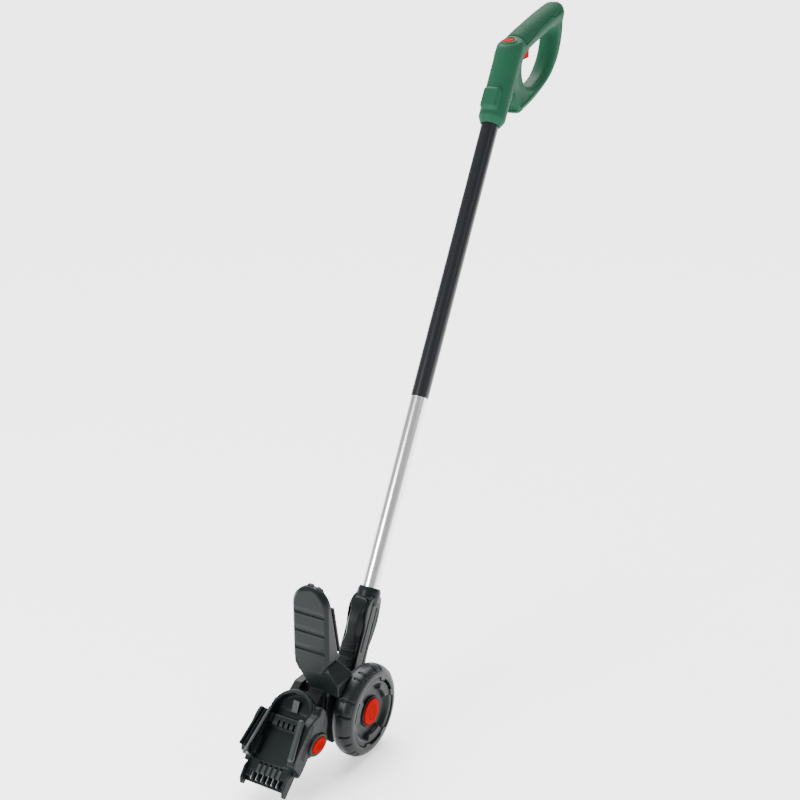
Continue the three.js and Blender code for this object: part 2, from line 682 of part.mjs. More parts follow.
function trayOutline(inset) {
  const half = TRAY_HALF - 10 - inset;
  const shape = new THREE.Shape();
  shape.moveTo(-half, TRAY_LOW + inset);
  shape.lineTo(half, TRAY_LOW + inset);
  shape.lineTo(half, ARCH_T);
  shape.absarc(0, ARCH_T, half, 0, Math.PI);
  return shape;
}

// an oval lying level, drawn in the tilted tray frame
function levelOval(grow) {
  const shape = new THREE.Shape();
  const [a, b] = BUTTON_HALF;
  shape.absellipse(0, 0, a + grow, b + grow, 0, 2 * Math.PI, false, -rad(TRAY_TILT));
  return shape;
}

function buildTray() {
  const tall = plateZ(trayOutline(0), FLOOR_UNDER, RAIL_N - 3, 0, 1, 8);
  const pan = cut(tall, box(-60, 60, 18, 80, ARCH_N, 60));
  const hollow = plateZ(trayOutline(WALL), FLOOR_N, 60, 0, 1, 8);
  const openFoot = plateX(outline([[-90, 6], [-66, 6], [-66, 12], [-44, 12], [-36, 60], [-90, 60]]), -60, 60);
  const cheek = (side) => {
    const from = side > 0 ? TRAY_HALF - 10 : -TRAY_HALF;
    const disc = cut(rod('x', CHEEK_R, from, from + 10, CHEEK_DISC, 32),
      box(-60, 60, -60, 60, side > 0 ? 24 : FLOOR_UNDER, 80));
    const wallShape = softOutline([[-46, 4], [26, 4], [26, RAIL_N - 3], [-36, RAIL_N - 3]], 3);
    const wall = plateX(wallShape, from, from + 10);
    return add(disc, wall);
  };
  const ear = (side) => plateX(softOutline([
    [TRAY_LOW - 5, 3], [-40, 3], [-40, 10], [-56, 19], [TRAY_LOW, 17], [TRAY_LOW - 6, 11],
  ], 3), side > 0 ? 31 : -34, side > 0 ? 34 : -31);
  const trough = box(-24, 24, TRAY_LOW + 1.5, -58, 5.8, 30);
  const under = box(-TRAY_HALF + 6, TRAY_HALF - 6, -40, 70, -30, FLOOR_UNDER - 0.1);
  const eyeRoom = [LEG_LEFT, LEG_RIGHT].map(
    ([from, to]) => rod('x', LEG_EYE + GAP, from - GAP, to + GAP, [0, 0], 24),
  );
  const notch = box(-8, 8, 42, 52, 17, 30);
  const seat = box(-24, 24, -46, -2, FLOOR_N - 1, FLOOR_N + 0.8);
  const boss = plateX(levelOval(4), TRAY_HALF - 1, TRAY_HALF + 3.5, 0, 1, OVAL_STEPS);
  const shape = cut(add(pan, cheek(1), cheek(-1)), hollow, under, openFoot);
  part(tray, 'tray_body', cut(add(shape, ear(1), ear(-1), boss, seat), trough, notch, ...eyeRoom,
    rod('x', AXLE_R + GAP, -SHAFT_END - 7, SHAFT_END + 2, [0, 0], 20),
    plateX(levelOval(GAP), BUTTON_WELL, 60, 0, 1, OVAL_STEPS),
    plateX(levelOval(1.6), BUTTON_WELL, 41, 0, 1, OVAL_STEPS)), BLACK);
}

function buildTrayParts() {
  for (const side of [-1, 1]) {
    const rail = box(-4, 4, -37, 17, RAIL_N - 2.7, RAIL_N + 4);
    const placedRail = rail.rotate([0, 0, side * FLARE]).translate([side * 32, 0, 0]);
    part(tray, side > 0 ? 'tray_rail_right' : 'tray_rail_left', placedRail, BLACK);
  }
  let comb = box(-22, 22, 3, 17, FLOOR_N + GAP, FLOOR_N + 9);
  for (let i = 0; i < 4; i += 1) {
    const x = CONTACT_PITCH * (i - 1.5);
    comb = cut(comb, box(x - 0.8, x + 0.8, 0, 10, FLOOR_N, FLOOR_N + 12));
  }
  part(tray, 'tray_comb', comb, BLACK);
  const catchSide = outline([[26, FLOOR_N + GAP], [41, FLOOR_N + GAP], [41, 19], [26, 13]]);
  part(tray, 'tray_catch', plateX(catchSide, -5, 5), BLACK);
  for (let i = 0; i < 6; i += 1) {
    const x = CONTACT_PITCH * (i - 2.5);
    const blade = box(x - 0.4, x + 0.4, -69, -59, 6 + GAP, 14);
    part(tray, `contact_blade_${i + 1}`, blade, SILVER);
  }
  part(tray, 'tray_pivot_shaft', rod('x', AXLE_R, -SHAFT_END - 6, SHAFT_END, [0, 0], 20), STEEL);
}

function buildSideButton() {
  const cap = plateX(levelOval(0), 38.7, TRAY_HALF + 5, 0.9, 2, OVAL_STEPS);
  const flange = plateX(levelOval(1.2), 38.7, 40.6, 0, 1, OVAL_STEPS);
  part(tray, 'side_button', add(cap, flange), RED);
  const spring = placed(coil(7.5, 0.4, 3.2, 2), [BUTTON_WELL + 0.2, 0, 0], [0, Math.PI / 2, 0]);
  part(tray, 'side_button_spring', spring, STEEL);
}

buildShells();
buildTrigger();
buildLockOff();
buildSwitch();
buildHandleParts();
buildLowerTube();
buildHousing();
buildReleaseLever();
buildBatteryPlate();
buildBatteryRails();
buildYoke();
buildWheel();
buildTray();
buildTrayParts();
buildSideButton();

const [gripY, gripZ] = poleToHead(GRIP_POINT);
lawnEdger.position.set(0, -gripY, -gripZ);

export default lawnEdger;
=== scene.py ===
import json
import math

import bmesh
import bpy
import numpy as np
from mathutils import Matrix, Vector


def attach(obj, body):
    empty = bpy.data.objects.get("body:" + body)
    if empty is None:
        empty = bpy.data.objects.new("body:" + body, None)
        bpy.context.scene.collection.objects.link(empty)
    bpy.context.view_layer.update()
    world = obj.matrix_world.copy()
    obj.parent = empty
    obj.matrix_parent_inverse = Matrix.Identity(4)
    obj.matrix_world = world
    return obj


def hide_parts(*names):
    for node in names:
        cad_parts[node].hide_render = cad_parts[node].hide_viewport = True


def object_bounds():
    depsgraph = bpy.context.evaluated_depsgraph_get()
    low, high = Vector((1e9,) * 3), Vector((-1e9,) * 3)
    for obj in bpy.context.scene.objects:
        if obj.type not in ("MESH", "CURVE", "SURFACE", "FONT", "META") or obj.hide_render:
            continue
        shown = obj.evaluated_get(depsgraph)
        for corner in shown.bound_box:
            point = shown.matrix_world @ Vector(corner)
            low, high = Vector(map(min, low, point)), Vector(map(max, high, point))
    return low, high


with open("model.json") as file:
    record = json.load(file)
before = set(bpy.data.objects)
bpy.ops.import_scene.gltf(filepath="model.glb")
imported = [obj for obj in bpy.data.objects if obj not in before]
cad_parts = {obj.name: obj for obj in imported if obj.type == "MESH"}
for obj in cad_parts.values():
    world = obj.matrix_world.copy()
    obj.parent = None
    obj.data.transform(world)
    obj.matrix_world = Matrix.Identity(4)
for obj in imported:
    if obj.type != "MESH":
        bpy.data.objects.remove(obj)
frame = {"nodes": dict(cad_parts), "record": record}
CAD_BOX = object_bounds()
nodes = frame["nodes"]
record = frame["record"]
joints = {j["name"]: j for j in record["behaviour"]["joints"]}
mounts = {m["name"]: m for m in record["mounts"]}
MM = 0.001

# Radii of bores, in millimetres, shared by the pieces that the same pin or screw goes through
PIN_BORE = 4.3
SMALL_PIN_BORE = 2.3
SCREW_HEAD = 4.2
SCREW_SHANK = 2.2


# ---------------------------------------------------------------- local frames, in millimetres
def local_frame(origin, second, third):
    """Local x runs along +X; second and third are the directions of the other two axes."""
    m = Matrix.Identity(4)
    for column, axis in enumerate((Vector((1, 0, 0)), Vector(second), Vector(third))):
        for row in range(3):
            m[row][column] = axis.normalized()[row] * MM
    for row in range(3):
        m[row][3] = origin[row]
    return m


# Pole frame (x, t behind the pole, s along it), its zero at the top of the joint housing
ALONG = Vector(joints["telescope_slide"]["axis"])
BEHIND = Vector((0, ALONG.z, -ALONG.y))
TILT_AT = (2, -128)
tilt = Vector(joints["head_tilt"]["pos_m"])
POLE = local_frame(tilt - (BEHIND * TILT_AT[0] + ALONG * TILT_AT[1]) * MM, BEHIND, ALONG)

# Head frame (x, y towards the back, z up), its zero on the ground under the axle
WHEEL_CENTRE = Vector(joints["wheel_spin"]["pos_m"])
WHEEL_R = 63
ground = Vector((0, WHEEL_CENTRE.y, WHEEL_CENTRE.z - WHEEL_R * MM))
HEAD = local_frame(ground, (0, 1, 0), (0, 0, 1))

# Tray frame (x, t up the sloping floor, n out of it), its zero on the tray's pivot
OUT = Vector(mounts["tool_seat"]["axis"])
UP_FLOOR = Vector((0, OUT.z, -OUT.y))
TRAY = local_frame(Vector(joints["tray_tilt"]["pos_m"]), UP_FLOOR, OUT)


# ---------------------------------------------------------------- distance fields
def poly(points, u, v):
    """Signed distance in a plane to a closed outline, negative inside."""
    u, v = np.broadcast_arrays(np.asarray(u, float), np.asarray(v, float))
    best = np.full(u.shape, np.inf)
    inside = np.zeros(u.shape, bool)
    for (ax, ay), (bx, by) in zip(points, [*points[1:], points[0]]):
        ex, ey = bx - ax, by - ay
        wx, wy = u - ax, v - ay
        k = np.clip((wx * ex + wy * ey) / (ex * ex + ey * ey), 0, 1)
        best = np.minimum(best, (wx - ex * k) ** 2 + (wy - ey * k) ** 2)
        if ey:
            inside ^= ((ay > v) != (by > v)) & (u < ax + wy * ex / ey)
    return np.where(inside, -1, 1) * np.sqrt(best)


def path(points, u, v):
    """Distance in a plane to an open line of points."""
    best = np.inf
    for (ax, ay), (bx, by) in zip(points, points[1:]):
        ex, ey = bx - ax, by - ay
        k = np.clip(((u - ax) * ex + (v - ay) * ey) / (ex * ex + ey * ey), 0, 1)
        best = np.minimum(best, (u - ax - ex * k) ** 2 + (v - ay - ey * k) ** 2)
    return np.sqrt(best)


def smooth_line(points, closed, steps=5):
    """A Catmull-Rom curve through the points."""
    n = len(points)
    out = []
    for i in range(n if closed else n - 1):
        pick = [points[(i + k) % n] if closed else points[min(max(i + k, 0), n - 1)] for k in (-1, 0, 1, 2)]
        p0, p1, p2, p3 = (np.array(p, float) for p in pick)
        for k in range(steps):
            u = k / steps
            q = 0.5 * (2 * p1 + (p2 - p0) * u + (2 * p0 - 5 * p1 + 4 * p2 - p3) * u ** 2
                       + (3 * p1 - p0 - 3 * p2 + p3) * u ** 3)
            out.append(tuple(q))
    if not closed:
        out.append(tuple(points[-1]))
    return out


def thick(d, across, r):
    """A plane shape given thickness, with its rims rounded by r."""
    a, b = d + r, across + r
    return np.hypot(np.maximum(a, 0), np.maximum(b, 0)) + np.minimum(np.maximum(a, b), 0) - r


def join(a, b, k=0.01):
    """Both shapes together, with a fillet of about k where they meet."""
    h = np.clip(0.5 + 0.5 * (b - a) / k, 0, 1)
    return b * (1 - h) + a * h - k * h * (1 - h)


def both(a, b, k=0.01):
    """What two shapes share, with edges softened by k."""
    return -join(-a, -b, k)


def carve(a, b, k=0.01):
    """Shape a with shape b taken away, with edges softened by k."""
    return -join(-a, b, k)


def block(x, y, z, low, high, r=0.0):
    """A box with rounded edges."""
    d = [np.abs(c - (l + h) / 2) - (h - l) / 2 + r for c, l, h in zip((x, y, z), low, high)]
    outside = np.sqrt(sum(np.maximum(c, 0) ** 2 for c in d))
    return outside + np.minimum(np.maximum(np.maximum(d[0], d[1]), d[2]), 0) - r


def rise(v, low, high):
    """A smooth step from 0 at low to 1 at high."""
    k = np.clip((v - low) / (high - low), 0, 1)
    return k * k * (3 - 2 * k)


def oval(x, v, a, b):
    return (np.hypot(x / a, v / b) - 1) * min(a, b)


def disc(u, v, centre, radius):
    return np.hypot(u - centre[0], v - centre[1]) - radius


def cos_sin(degrees):
    return math.cos(math.radians(degrees)), math.sin(math.radians(degrees))


def without(d, wells):
    """A shape with sharp-edged wells cut out of it."""
    for well in wells:
        d = np.maximum(d, -well)
    return d


def screw_wells(x, u, v, places, middle, half):
    """A head recess from the left side and a shank bore for each screw."""
    wells = []
    for place in places:
        wells.append(np.maximum(disc(u, v, place, SCREW_HEAD), x + 9))
        wells.append(np.maximum(disc(u, v, place, SCREW_SHANK), np.abs(x + middle) - half))
    return wells


def groove(a, line, half, depth):
    """Cuts a soft channel into surface a along where line is zero."""
    return a + depth * np.clip(1 - (line / half) ** 2, 0, 1)


def surface(field, low, high, step):
    """Surface nets: the zero surface of a field as vertices and quads."""
    axes = [np.arange(lo, hi + step, step) for lo, hi in zip(low, high)]
    shape = [len(a) for a in axes]
    f = np.broadcast_to(field(axes[0][:, None, None], axes[1][None, :, None], axes[2][None, None, :]), shape)
    f = f.astype(np.float32)
    sign = f < 0
    cells = [n - 1 for n in shape]
    corners = [(i, j, k) for i in (0, 1) for j in (0, 1) for k in (0, 1)]
    total = sum(sign[i:i + cells[0], j:j + cells[1], k:k + cells[2]].astype(np.int8) for i, j, k in corners)
    active = np.argwhere((total > 0) & (total < 8))
    index = np.full(cells, -1, np.int64)
    index[tuple(active.T)] = np.arange(len(active))
    place = np.zeros((len(active), 3))
    count = np.zeros(len(active))
    for a in corners:
        for axis in range(3):
            if a[axis]:
                continue
            b = list(a)
            b[axis] = 1
            fa = f[tuple((active + a).T)]
            fb = f[tuple((active + b).T)]
            hit = (fa < 0) != (fb < 0)
            k = fa[hit] / (fa[hit] - fb[hit])
            place[hit] += np.array(a) + np.outer(k, np.array(b) - np.array(a))
            count[hit] += 1
    points = np.array(low) + step * (active + place / count[:, None])
    faces = []
    for axis in range(3):
        one, two = (axis + 1) % 3, (axis + 2) % 3
        near = [slice(1, n) for n in cells]
        far = list(near)
        near[axis] = slice(0, cells[axis])
        far[axis] = slice(1, cells[axis] + 1)
        change = sign[tuple(near)] != sign[tuple(far)]
        at = np.argwhere(change)
        for other in (one, two):
            at[:, other] += 1
        quad = []
        for da, db in ((1, 1), (0, 1), (0, 0), (1, 0)):
            c = at.copy()
            c[:, one] -= da
            c[:, two] -= db
            quad.append(index[tuple(c.T)])
        quad = np.array(quad).T
        flip = ~sign[tuple(at.T)]
        quad[flip] = quad[flip][:, ::-1]
        faces.append(quad)
    for _ in range(3):
        h = 0.1 * step
        x, y, z = points.T
        d = field(x, y, z)
        g = np.array([field(x + h, y, z) - field(x - h, y, z), field(x, y + h, z) - field(x, y - h, z),
                      field(x, y, z + h) - field(x, y, z - h)]) / (2 * h)
        move = -d * g / np.maximum((g ** 2).sum(0), 0.2)
        size = np.sqrt((move ** 2).sum(0))
        points += (move * np.minimum(1, 0.5 * step / np.maximum(size, 1e-9))).T
    return points, np.concatenate(faces)


def to_object(name, points, faces, place):
    """A mesh object from local points in millimetres."""
    world = np.array(place)
    points = points @ world[:3, :3].T + world[:3, 3]
    mesh = bpy.data.meshes.new(name)
    mesh.from_pydata(points.tolist(), [], [list(f) for f in faces])
    mesh.validate()
    mesh.shade_smooth()
    obj = bpy.data.objects.new(name, mesh)
    bpy.context.scene.collection.objects.link(obj)
    return obj


def bake(obj):
    """Turns an object's modifiers into its mesh."""
    graph = bpy.context.evaluated_depsgraph_get()
    done = bpy.data.meshes.new_from_object(obj.evaluated_get(graph))
    old = obj.data
    obj.modifiers.clear()
    obj.data = done
    bpy.data.meshes.remove(old)


def thin_out(obj, ratio):
    """Leaves this share of the faces, fewest on the flat stretches."""
    m = obj.modifiers.new("thin", "DECIMATE")
    m.ratio = ratio
    bake(obj)


def made(name, field, low, high, step, place, body, material, stands_for=(), keep=0.4):
    """A piece grown from a field, riding a body and standing for the CAD nodes that it replaces."""
    points, faces = surface(field, low, high, step)
    obj = to_object(name, points, faces, place)
    if keep < 1:
        thin_out(obj, keep)
    obj.data.materials.append(material)
    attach(obj, body)
    if stands_for:
        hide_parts(*stands_for)
    return obj


def refined(name, node, body, material, width):
    """A CAD node's shape with its edges broken by small round bevels."""
    mesh = nodes[node].data.copy()
    obj = bpy.data.objects.new(name, mesh)
    bpy.context.scene.collection.objects.link(obj)
    b = bmesh.new()
    b.from_mesh(mesh)
    bmesh.ops.remove_doubles(b, verts=b.verts, dist=1e-6)
    bmesh.ops.dissolve_limit(b, angle_limit=math.radians(1.5), verts=b.verts, edges=b.edges)
    b.to_mesh(mesh)
    b.free()
    m = obj.modifiers.new("edges", "BEVEL")
    m.width = width * MM
    m.segments = 2
    m.limit_method = "ANGLE"
    m.angle_limit = math.radians(28)
    bake(obj)
    obj.data.materials.clear()
    obj.data.materials.append(material)
    obj.data.shade_smooth()
    obj.data.set_sharp_from_angle(angle=math.radians(35))
    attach(obj, body)
    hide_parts(node)
    return obj


# ---------------------------------------------------------------- materials
def plastic(name, color, rough=0.45, grain=900, bump=0.15, edge_highlight=0.35, spec=0.5, metal=0.0):
    """Moulded plastic or coated metal: fine grain, slightly uneven colour, and a painted highlight that
    lightens the sharp edges.
    """
    m = bpy.data.materials.new(name)
    m.use_nodes = True
    t = m.node_tree
    shader = t.nodes["Principled BSDF"]
    shader.inputs["Metallic"].default_value = metal
    shader.inputs["Specular IOR Level"].default_value = spec
    where = t.nodes.new("ShaderNodeTexCoord")

    def noise(scale, detail):
        n = t.nodes.new("ShaderNodeTexNoise")
        n.inputs["Scale"].default_value = scale
        n.inputs["Detail"].default_value = detail
        t.links.new(where.outputs["Object"], n.inputs["Vector"])
        return n

    broad = noise(35, 3)
    fine = noise(grain, 2)
    tone = t.nodes.new("ShaderNodeMapRange")
    tone.inputs["To Min"].default_value = 0.9
    tone.inputs["To Max"].default_value = 1.1
    t.links.new(broad.outputs["Fac"], tone.inputs["Value"])
    base = t.nodes.new("ShaderNodeVectorMath")
    base.operation = "SCALE"
    base.inputs[0].default_value = color
    t.links.new(tone.outputs["Result"], base.inputs["Scale"])
    # Painted highlight: where pointiness marks a sharp edge, the colour is mixed towards a lighter copy of
    # itself, standing in for the lamps' highlights on edges.
    edge = t.nodes.new("ShaderNodeNewGeometry")
    edge_highlight_mask = t.nodes.new("ShaderNodeMapRange")
    edge_highlight_mask.inputs["From Min"].default_value = 0.52
    edge_highlight_mask.inputs["From Max"].default_value = 0.62
    edge_highlight_mask.inputs["To Max"].default_value = edge_highlight
    t.links.new(edge.outputs["Pointiness"], edge_highlight_mask.inputs["Value"])
    mix = t.nodes.new("ShaderNodeMix")
    mix.data_type = "RGBA"
    # The lighter copy of the colour that the painted edge highlight mixes in.
    mix.inputs["B"].default_value = (*(min(1, c * 2.2 + 0.03) for c in color), 1)
    t.links.new(edge_highlight_mask.outputs["Result"], mix.inputs["Factor"])
    t.links.new(base.outputs["Vector"], mix.inputs["A"])
    t.links.new(mix.outputs["Result"], shader.inputs["Base Color"])
    gloss = t.nodes.new("ShaderNodeMapRange")
    gloss.inputs["To Min"].default_value = rough - 0.06
    gloss.inputs["To Max"].default_value = rough + 0.06
    t.links.new(fine.outputs["Fac"], gloss.inputs["Value"])
    t.links.new(gloss.outputs["Result"], shader.inputs["Roughness"])
    relief = t.nodes.new("ShaderNodeBump")
    relief.inputs["Strength"].default_value = bump
    relief.inputs["Distance"].default_value = 0.0003
    t.links.new(fine.outputs["Fac"], relief.inputs["Height"])
    t.links.new(relief.outputs["Normal"], shader.inputs["Normal"])
    return m


GREEN = plastic("green_plastic", (0.0130, 0.064, 0.035), rough=0.45, bump=0.12, spec=0.04)
DARK = plastic("black_plastic", (0.0060, 0.0085, 0.0088), rough=0.36, bump=0.2, spec=0.13)
CONTACT = plastic("contact_metal", (0.30, 0.31, 0.32), rough=0.4, bump=0.03, edge_highlight=0.0, metal=1.0)
# A light grey that paints the highlight along the left rail's inner lip.
PAINTED_HIGHLIGHT = plastic("painted_highlight_edge", (0.10, 0.11, 0.115), rough=0.35, bump=0.1, spec=0.5)
PALE = plastic("pale_plastic", (0.016, 0.020, 0.021), rough=0.42, bump=0.2, spec=0.3)
DEEP = plastic("dark_plastic", (0.002, 0.0025, 0.0026), rough=0.5, bump=0.2, spec=0.15)
RED = plastic("red_plastic", (0.32, 0.0003, 0.0002), rough=0.5, bump=0.08, edge_highlight=0.02, spec=0.01)
RUBBER = plastic("tyre_rubber", (0.0060, 0.0085, 0.0088), rough=0.38, bump=0.3, grain=600, spec=0.2)
TUBE = plastic("tube_coating", (0.006, 0.007, 0.009), rough=0.3, bump=0.1, edge_highlight=0.0, spec=0.35)
BRIGHT = plastic("tube_aluminium", (0.80, 0.81, 0.82), rough=0.24, bump=0.03, edge_highlight=0.0, metal=1.0)
STEEL = plastic("steel", (0.55, 0.56, 0.57), rough=0.3, bump=0.05, edge_highlight=0.0, metal=1.0)


# ---------------------------------------------------------------- handle
COLLAR_S = 685
BARREL_R = 20
GRIP_R = 17.5
LOOP_HALF = 15.5
LOOP_ROUNDING = 10.5
BARREL_TOP = 822
THUMB_BOSS = ((-13.2, -25.4, 702), (13.2, -5, 735))
BEZEL = (12.6, 10.4)
BUTTON_HOLE = (9.6, 7.6)
LOOP_OUTER = smooth_line([
    (8, 730), (48, 729), (60, 731), (68, 740), (92, 768), (121, 812), (132, 845), (133, 872),
    (126, 900), (114, 918), (98, 922), (78, 906), (40, 862), (6, 824), (-2, 790)], True)
LOOP_HOLE = smooth_line([
    (27, 800), (31, 785), (42, 775.5), (58, 774), (76, 782), (91, 799), (102.5, 818),
    (108, 845), (106, 866), (99, 882), (88, 882), (66, 858), (38, 826)], True)
BAR = smooth_line([(0, 792), (14, 818), (56, 867), (92, 906), (104, 917)], False, 8)
BUTTON_SEAT = (-8, 810)
BUTTON_LIE = 44
TRIGGER_PIVOT = (22, 822)
TRIGGER_PULLS = (0, 5, 10)
LEAN = 29
HANDLE_BACK = 546.6
HANDLE_TOP = 768.4
TUBE_POCKET_R = 13.05
TUBE_POCKET_TOP = 753
HANDLE_SCREWS = ((0, 772), (28, 748), (98, 792), (124, 868), (88, 905))
WEB_HALF = 14.3
UNDERCUT = [(17, 720), (17, 746), (22, 746), (51, 732), (51, 720)]
TRIGGER_SLOT = [(13, 816), (40, 802), (57, 816), (60, 838), (44, 848.5), (21, 832)]
WEB = [(14, 739), (50, 737), (60, 747), (84, 779), (60, 768), (40, 769.5), (27, 780), (22, 800), (14, 800)]


def button_axes(t, s):
    """(across the button, outwards along its travel) in the t-s plane."""
    dt, ds = t - BUTTON_SEAT[0], s - BUTTON_SEAT[1]
    c, n = cos_sin(BUTTON_LIE)
    return dt * c + ds * n, -dt * n + ds * c


def turned_about(points, centre, degrees):
    c, n = cos_sin(degrees)
    return [(centre[0] + (a - centre[0]) * c - (b - centre[1]) * n,
             centre[1] + (a - centre[0]) * n + (b - centre[1]) * c) for a, b in points]


SEAM = [(-12, 828), (-4, 826), (15, 821), (36, 850), (38, 856), (72, 896), (80, 899), (93, 912), (104, 926),
        (90, 945), (-30, 860)]


def beyond(t, s):
    """How far a point lies behind the rearmost or above the topmost limit of the handle."""
    c, n = cos_sin(LEAN)
    return np.maximum(t * c + s * n - HANDLE_BACK, s * c - t * n - HANDLE_TOP)


def handle_wells(x, t, s):
    """Room for the button, the trigger in each position, the tube, the trigger spring and the screws."""
    v, w = button_axes(t, s)
    wells = [oval(x, v, *BUTTON_HOLE) + np.where(w < -20, 50, 0)]
    wells.append(np.maximum(oval(x, v, 11.5, 9.5), np.abs(w + 13) - 7))
    for pull in TRIGGER_PULLS:
        slot = poly(turned_about(TRIGGER_SLOT, TRIGGER_PIVOT, pull), t, s)
        wells.append(np.maximum(slot, np.abs(x) - 7.9))
    wells.append(np.maximum(np.hypot(x, t) - TUBE_POCKET_R, s - TUBE_POCKET_TOP))
    wells.append(block(x, t, s, (-8.5, 37, 846), (8.5, 57, 867)))
    return wells + screw_wells(x, t, s, HANDLE_SCREWS, 2.5, 11)


def handle_field(x, t, s):
    """Barrel, grip bar and loop as one shell, with the button's bezel, the seams and the pad's recess."""
    across = np.abs(x)
    ring = np.maximum(poly(LOOP_OUTER, t, s), -poly(LOOP_HOLE, t, s))
    loop = thick(ring, across - LOOP_HALF, LOOP_ROUNDING)
    bar = np.hypot(x, path(BAR, t, s)) - GRIP_R
    r = np.hypot(x, t)
    collar = (r - 15.2 - 0.5 * (s - COLLAR_S)) * 0.89
    barrel = both(np.maximum(both(r - BARREL_R, collar, 0.5), COLLAR_S - s), s - BARREL_TOP, 16)
    v, w = button_axes(t, s)
    barrel = both(barrel, w - 1.5, 5)
    d = join(join(barrel, bar, 6), loop, 3.5)
    d = carve(d, np.maximum(poly(WEB, t, s), WEB_HALF - across), 0.8)
    boss = block(x, t, s, *THUMB_BOSS, 5.5)
    d = join(d, boss, 1.8)
    bezel = thick(oval(x, v, *BEZEL), np.abs(w + 5) - 9, 2.4)
    d = np.where(w > 1, np.maximum(d, -(np.hypot(x / 1.2, v) - 9)), d)
    d = join(d, bezel, 2.5)
    crease = np.where((s > 733) & (s < 820) & (across > 8), t - 11.5, 9)
    d = groove(d, crease, 1.0, 1.5)
    d = groove(d, np.where(bar > -4, poly(SEAM, t, s) - 0.4, 9), 1.2, 1.1)
    under = np.maximum(poly(UNDERCUT, t, s), -11.5 - x)
    d = carve(d, np.maximum(under, 20.5 - r), 0.8)
    d = without(d, handle_wells(x, t, s))
    pad = np.maximum(np.maximum(poly(SEAM, t, s) - 0.35, bar - 4), -(bar + 1.6))
    return both(carve(d, pad, 0.5), beyond(t, s), 3)


made("handle_body", handle_field, (-21, -29, 682), (21, 138, 927), 0.8, POLE, "handle", GREEN,
     ("handle_shell_right", "handle_shell_left"), keep=0.5)


DOT_PITCH = 2.3


def dotted():
    """The soft pad's own finish: rows of small round dots, set by the pad's unrolled surface."""
    m = plastic("soft_grip", (0.0120, 0.058, 0.032), rough=0.6, bump=0.1, edge_highlight=0.1, spec=0.04)
    t = m.node_tree
    relief = next(n for n in t.nodes if n.type == "BUMP")
    uv = t.nodes.new("ShaderNodeUVMap")
    uv.uv_map = "unrolled"
    scaled = t.nodes.new("ShaderNodeVectorMath")
    scaled.operation = "SCALE"
    scaled.inputs["Scale"].default_value = 1 / DOT_PITCH
    t.links.new(uv.outputs["UV"], scaled.inputs[0])
    cell = t.nodes.new("ShaderNodeVectorMath")
    cell.operation = "FRACTION"
    t.links.new(scaled.outputs["Vector"], cell.inputs[0])
    off = t.nodes.new("ShaderNodeVectorMath")
    off.operation = "DISTANCE"
    off.inputs[1].default_value = (0.5, 0.5, 0)
    t.links.new(cell.outputs["Vector"], off.inputs[0])
    dot = t.nodes.new("ShaderNodeMapRange")
    dot.interpolation_type = "SMOOTHSTEP"
    dot.inputs["From Min"].default_value = 0.42
    dot.inputs["From Max"].default_value = 0.22
    t.links.new(off.outputs["Value"], dot.inputs["Value"])
    more = t.nodes.new("ShaderNodeBump")
    more.inputs["Strength"].default_value = 0.6
    more.inputs["Distance"].default_value = 0.0004
    t.links.new(dot.outputs["Result"], more.inputs["Height"])
    t.links.new(relief.outputs["Normal"], more.inputs["Normal"])
    t.links.new(more.outputs["Normal"], t.nodes["Principled BSDF"].inputs["Normal"])
    return m


def pad_field(x, t, s):
    """A thin sleeve over the top of the grip bar, bounded by the seam."""
    bar = np.hypot(x, path(BAR, t, s)) - GRIP_R
    shell = np.maximum(bar - 0.5, -(bar + 1.4))
    return both(both(poly(SEAM, t, s), shell, 0.8), beyond(t, s), 2)


pad = made("grip_pad_skin", pad_field, (-20, -16, 810), (20, 108, 932), 0.7, POLE, "handle", dotted(),
           ("grip_pad",), keep=0.5)


def unroll(obj, place, line, radius):
    """A UV map in millimetres: distance along a line, and distance round it."""
    inverse = place.inverted()
    marks = [Vector(p) for p in line]
    run = [0.0]
    for a, b in zip(marks, marks[1:]):
        run.append(run[-1] + (b - a).length)
    layer = obj.data.uv_layers.new(name="unrolled")
    for loop in obj.data.loops:
        p = inverse @ obj.data.vertices[loop.vertex_index].co
        q = Vector((p.y, p.z))
        best = None
        for i, (a, b) in enumerate(zip(marks, marks[1:])):
            e = b - a
            k = min(1, max(0, (q - a).dot(e) / e.length_squared))
            off = q - a - e * k
            if best is None or off.length < best[0]:
                side = off.x * e.y - off.y * e.x
                best = (off.length, run[i] + e.length * k, math.copysign(off.length, side))
        layer.data[loop.index].uv = (best[1], math.atan2(p.x, best[2]) * radius)


unroll(pad, POLE, BAR, GRIP_R)


def lock_off_field(x, t, s):
    """The oval cap, its wider foot under the shell and the stem on which the spring sits."""
    v, w = button_axes(t, s)
    cap = thick(oval(x, v, 9, 7), np.abs(w + 0.5) - 5.5, 1.6)
    foot = np.maximum(oval(x, v, 11, 9), np.abs(w + 9) - 2)
    stem = np.maximum(np.hypot(x, v) - 4, np.abs(w + 6.5) - 1)
    return np.minimum(np.minimum(cap, foot), stem)


made("lock_off_cap", lock_off_field, (-12, -24, 794), (12, 8, 822), 0.45, POLE, "lock_off_button", RED,
     ("lock_off_button",))


def trigger_field(x, t, s):
    blade = [(18, 819), (29, 811), (38.5, 807), (51, 817), (46, 826), (46, 838), (43, 842), (26, 829)]
    d = thick(poly(blade, t, s), np.abs(x) - 7, 1.4)
    return np.maximum(d, -disc(t, s, TRIGGER_PIVOT, SMALL_PIN_BORE))


made("trigger_blade", trigger_field, (-8, 14, 802), (8, 58, 848), 0.5, POLE, "trigger", RED,
     ("trigger",))


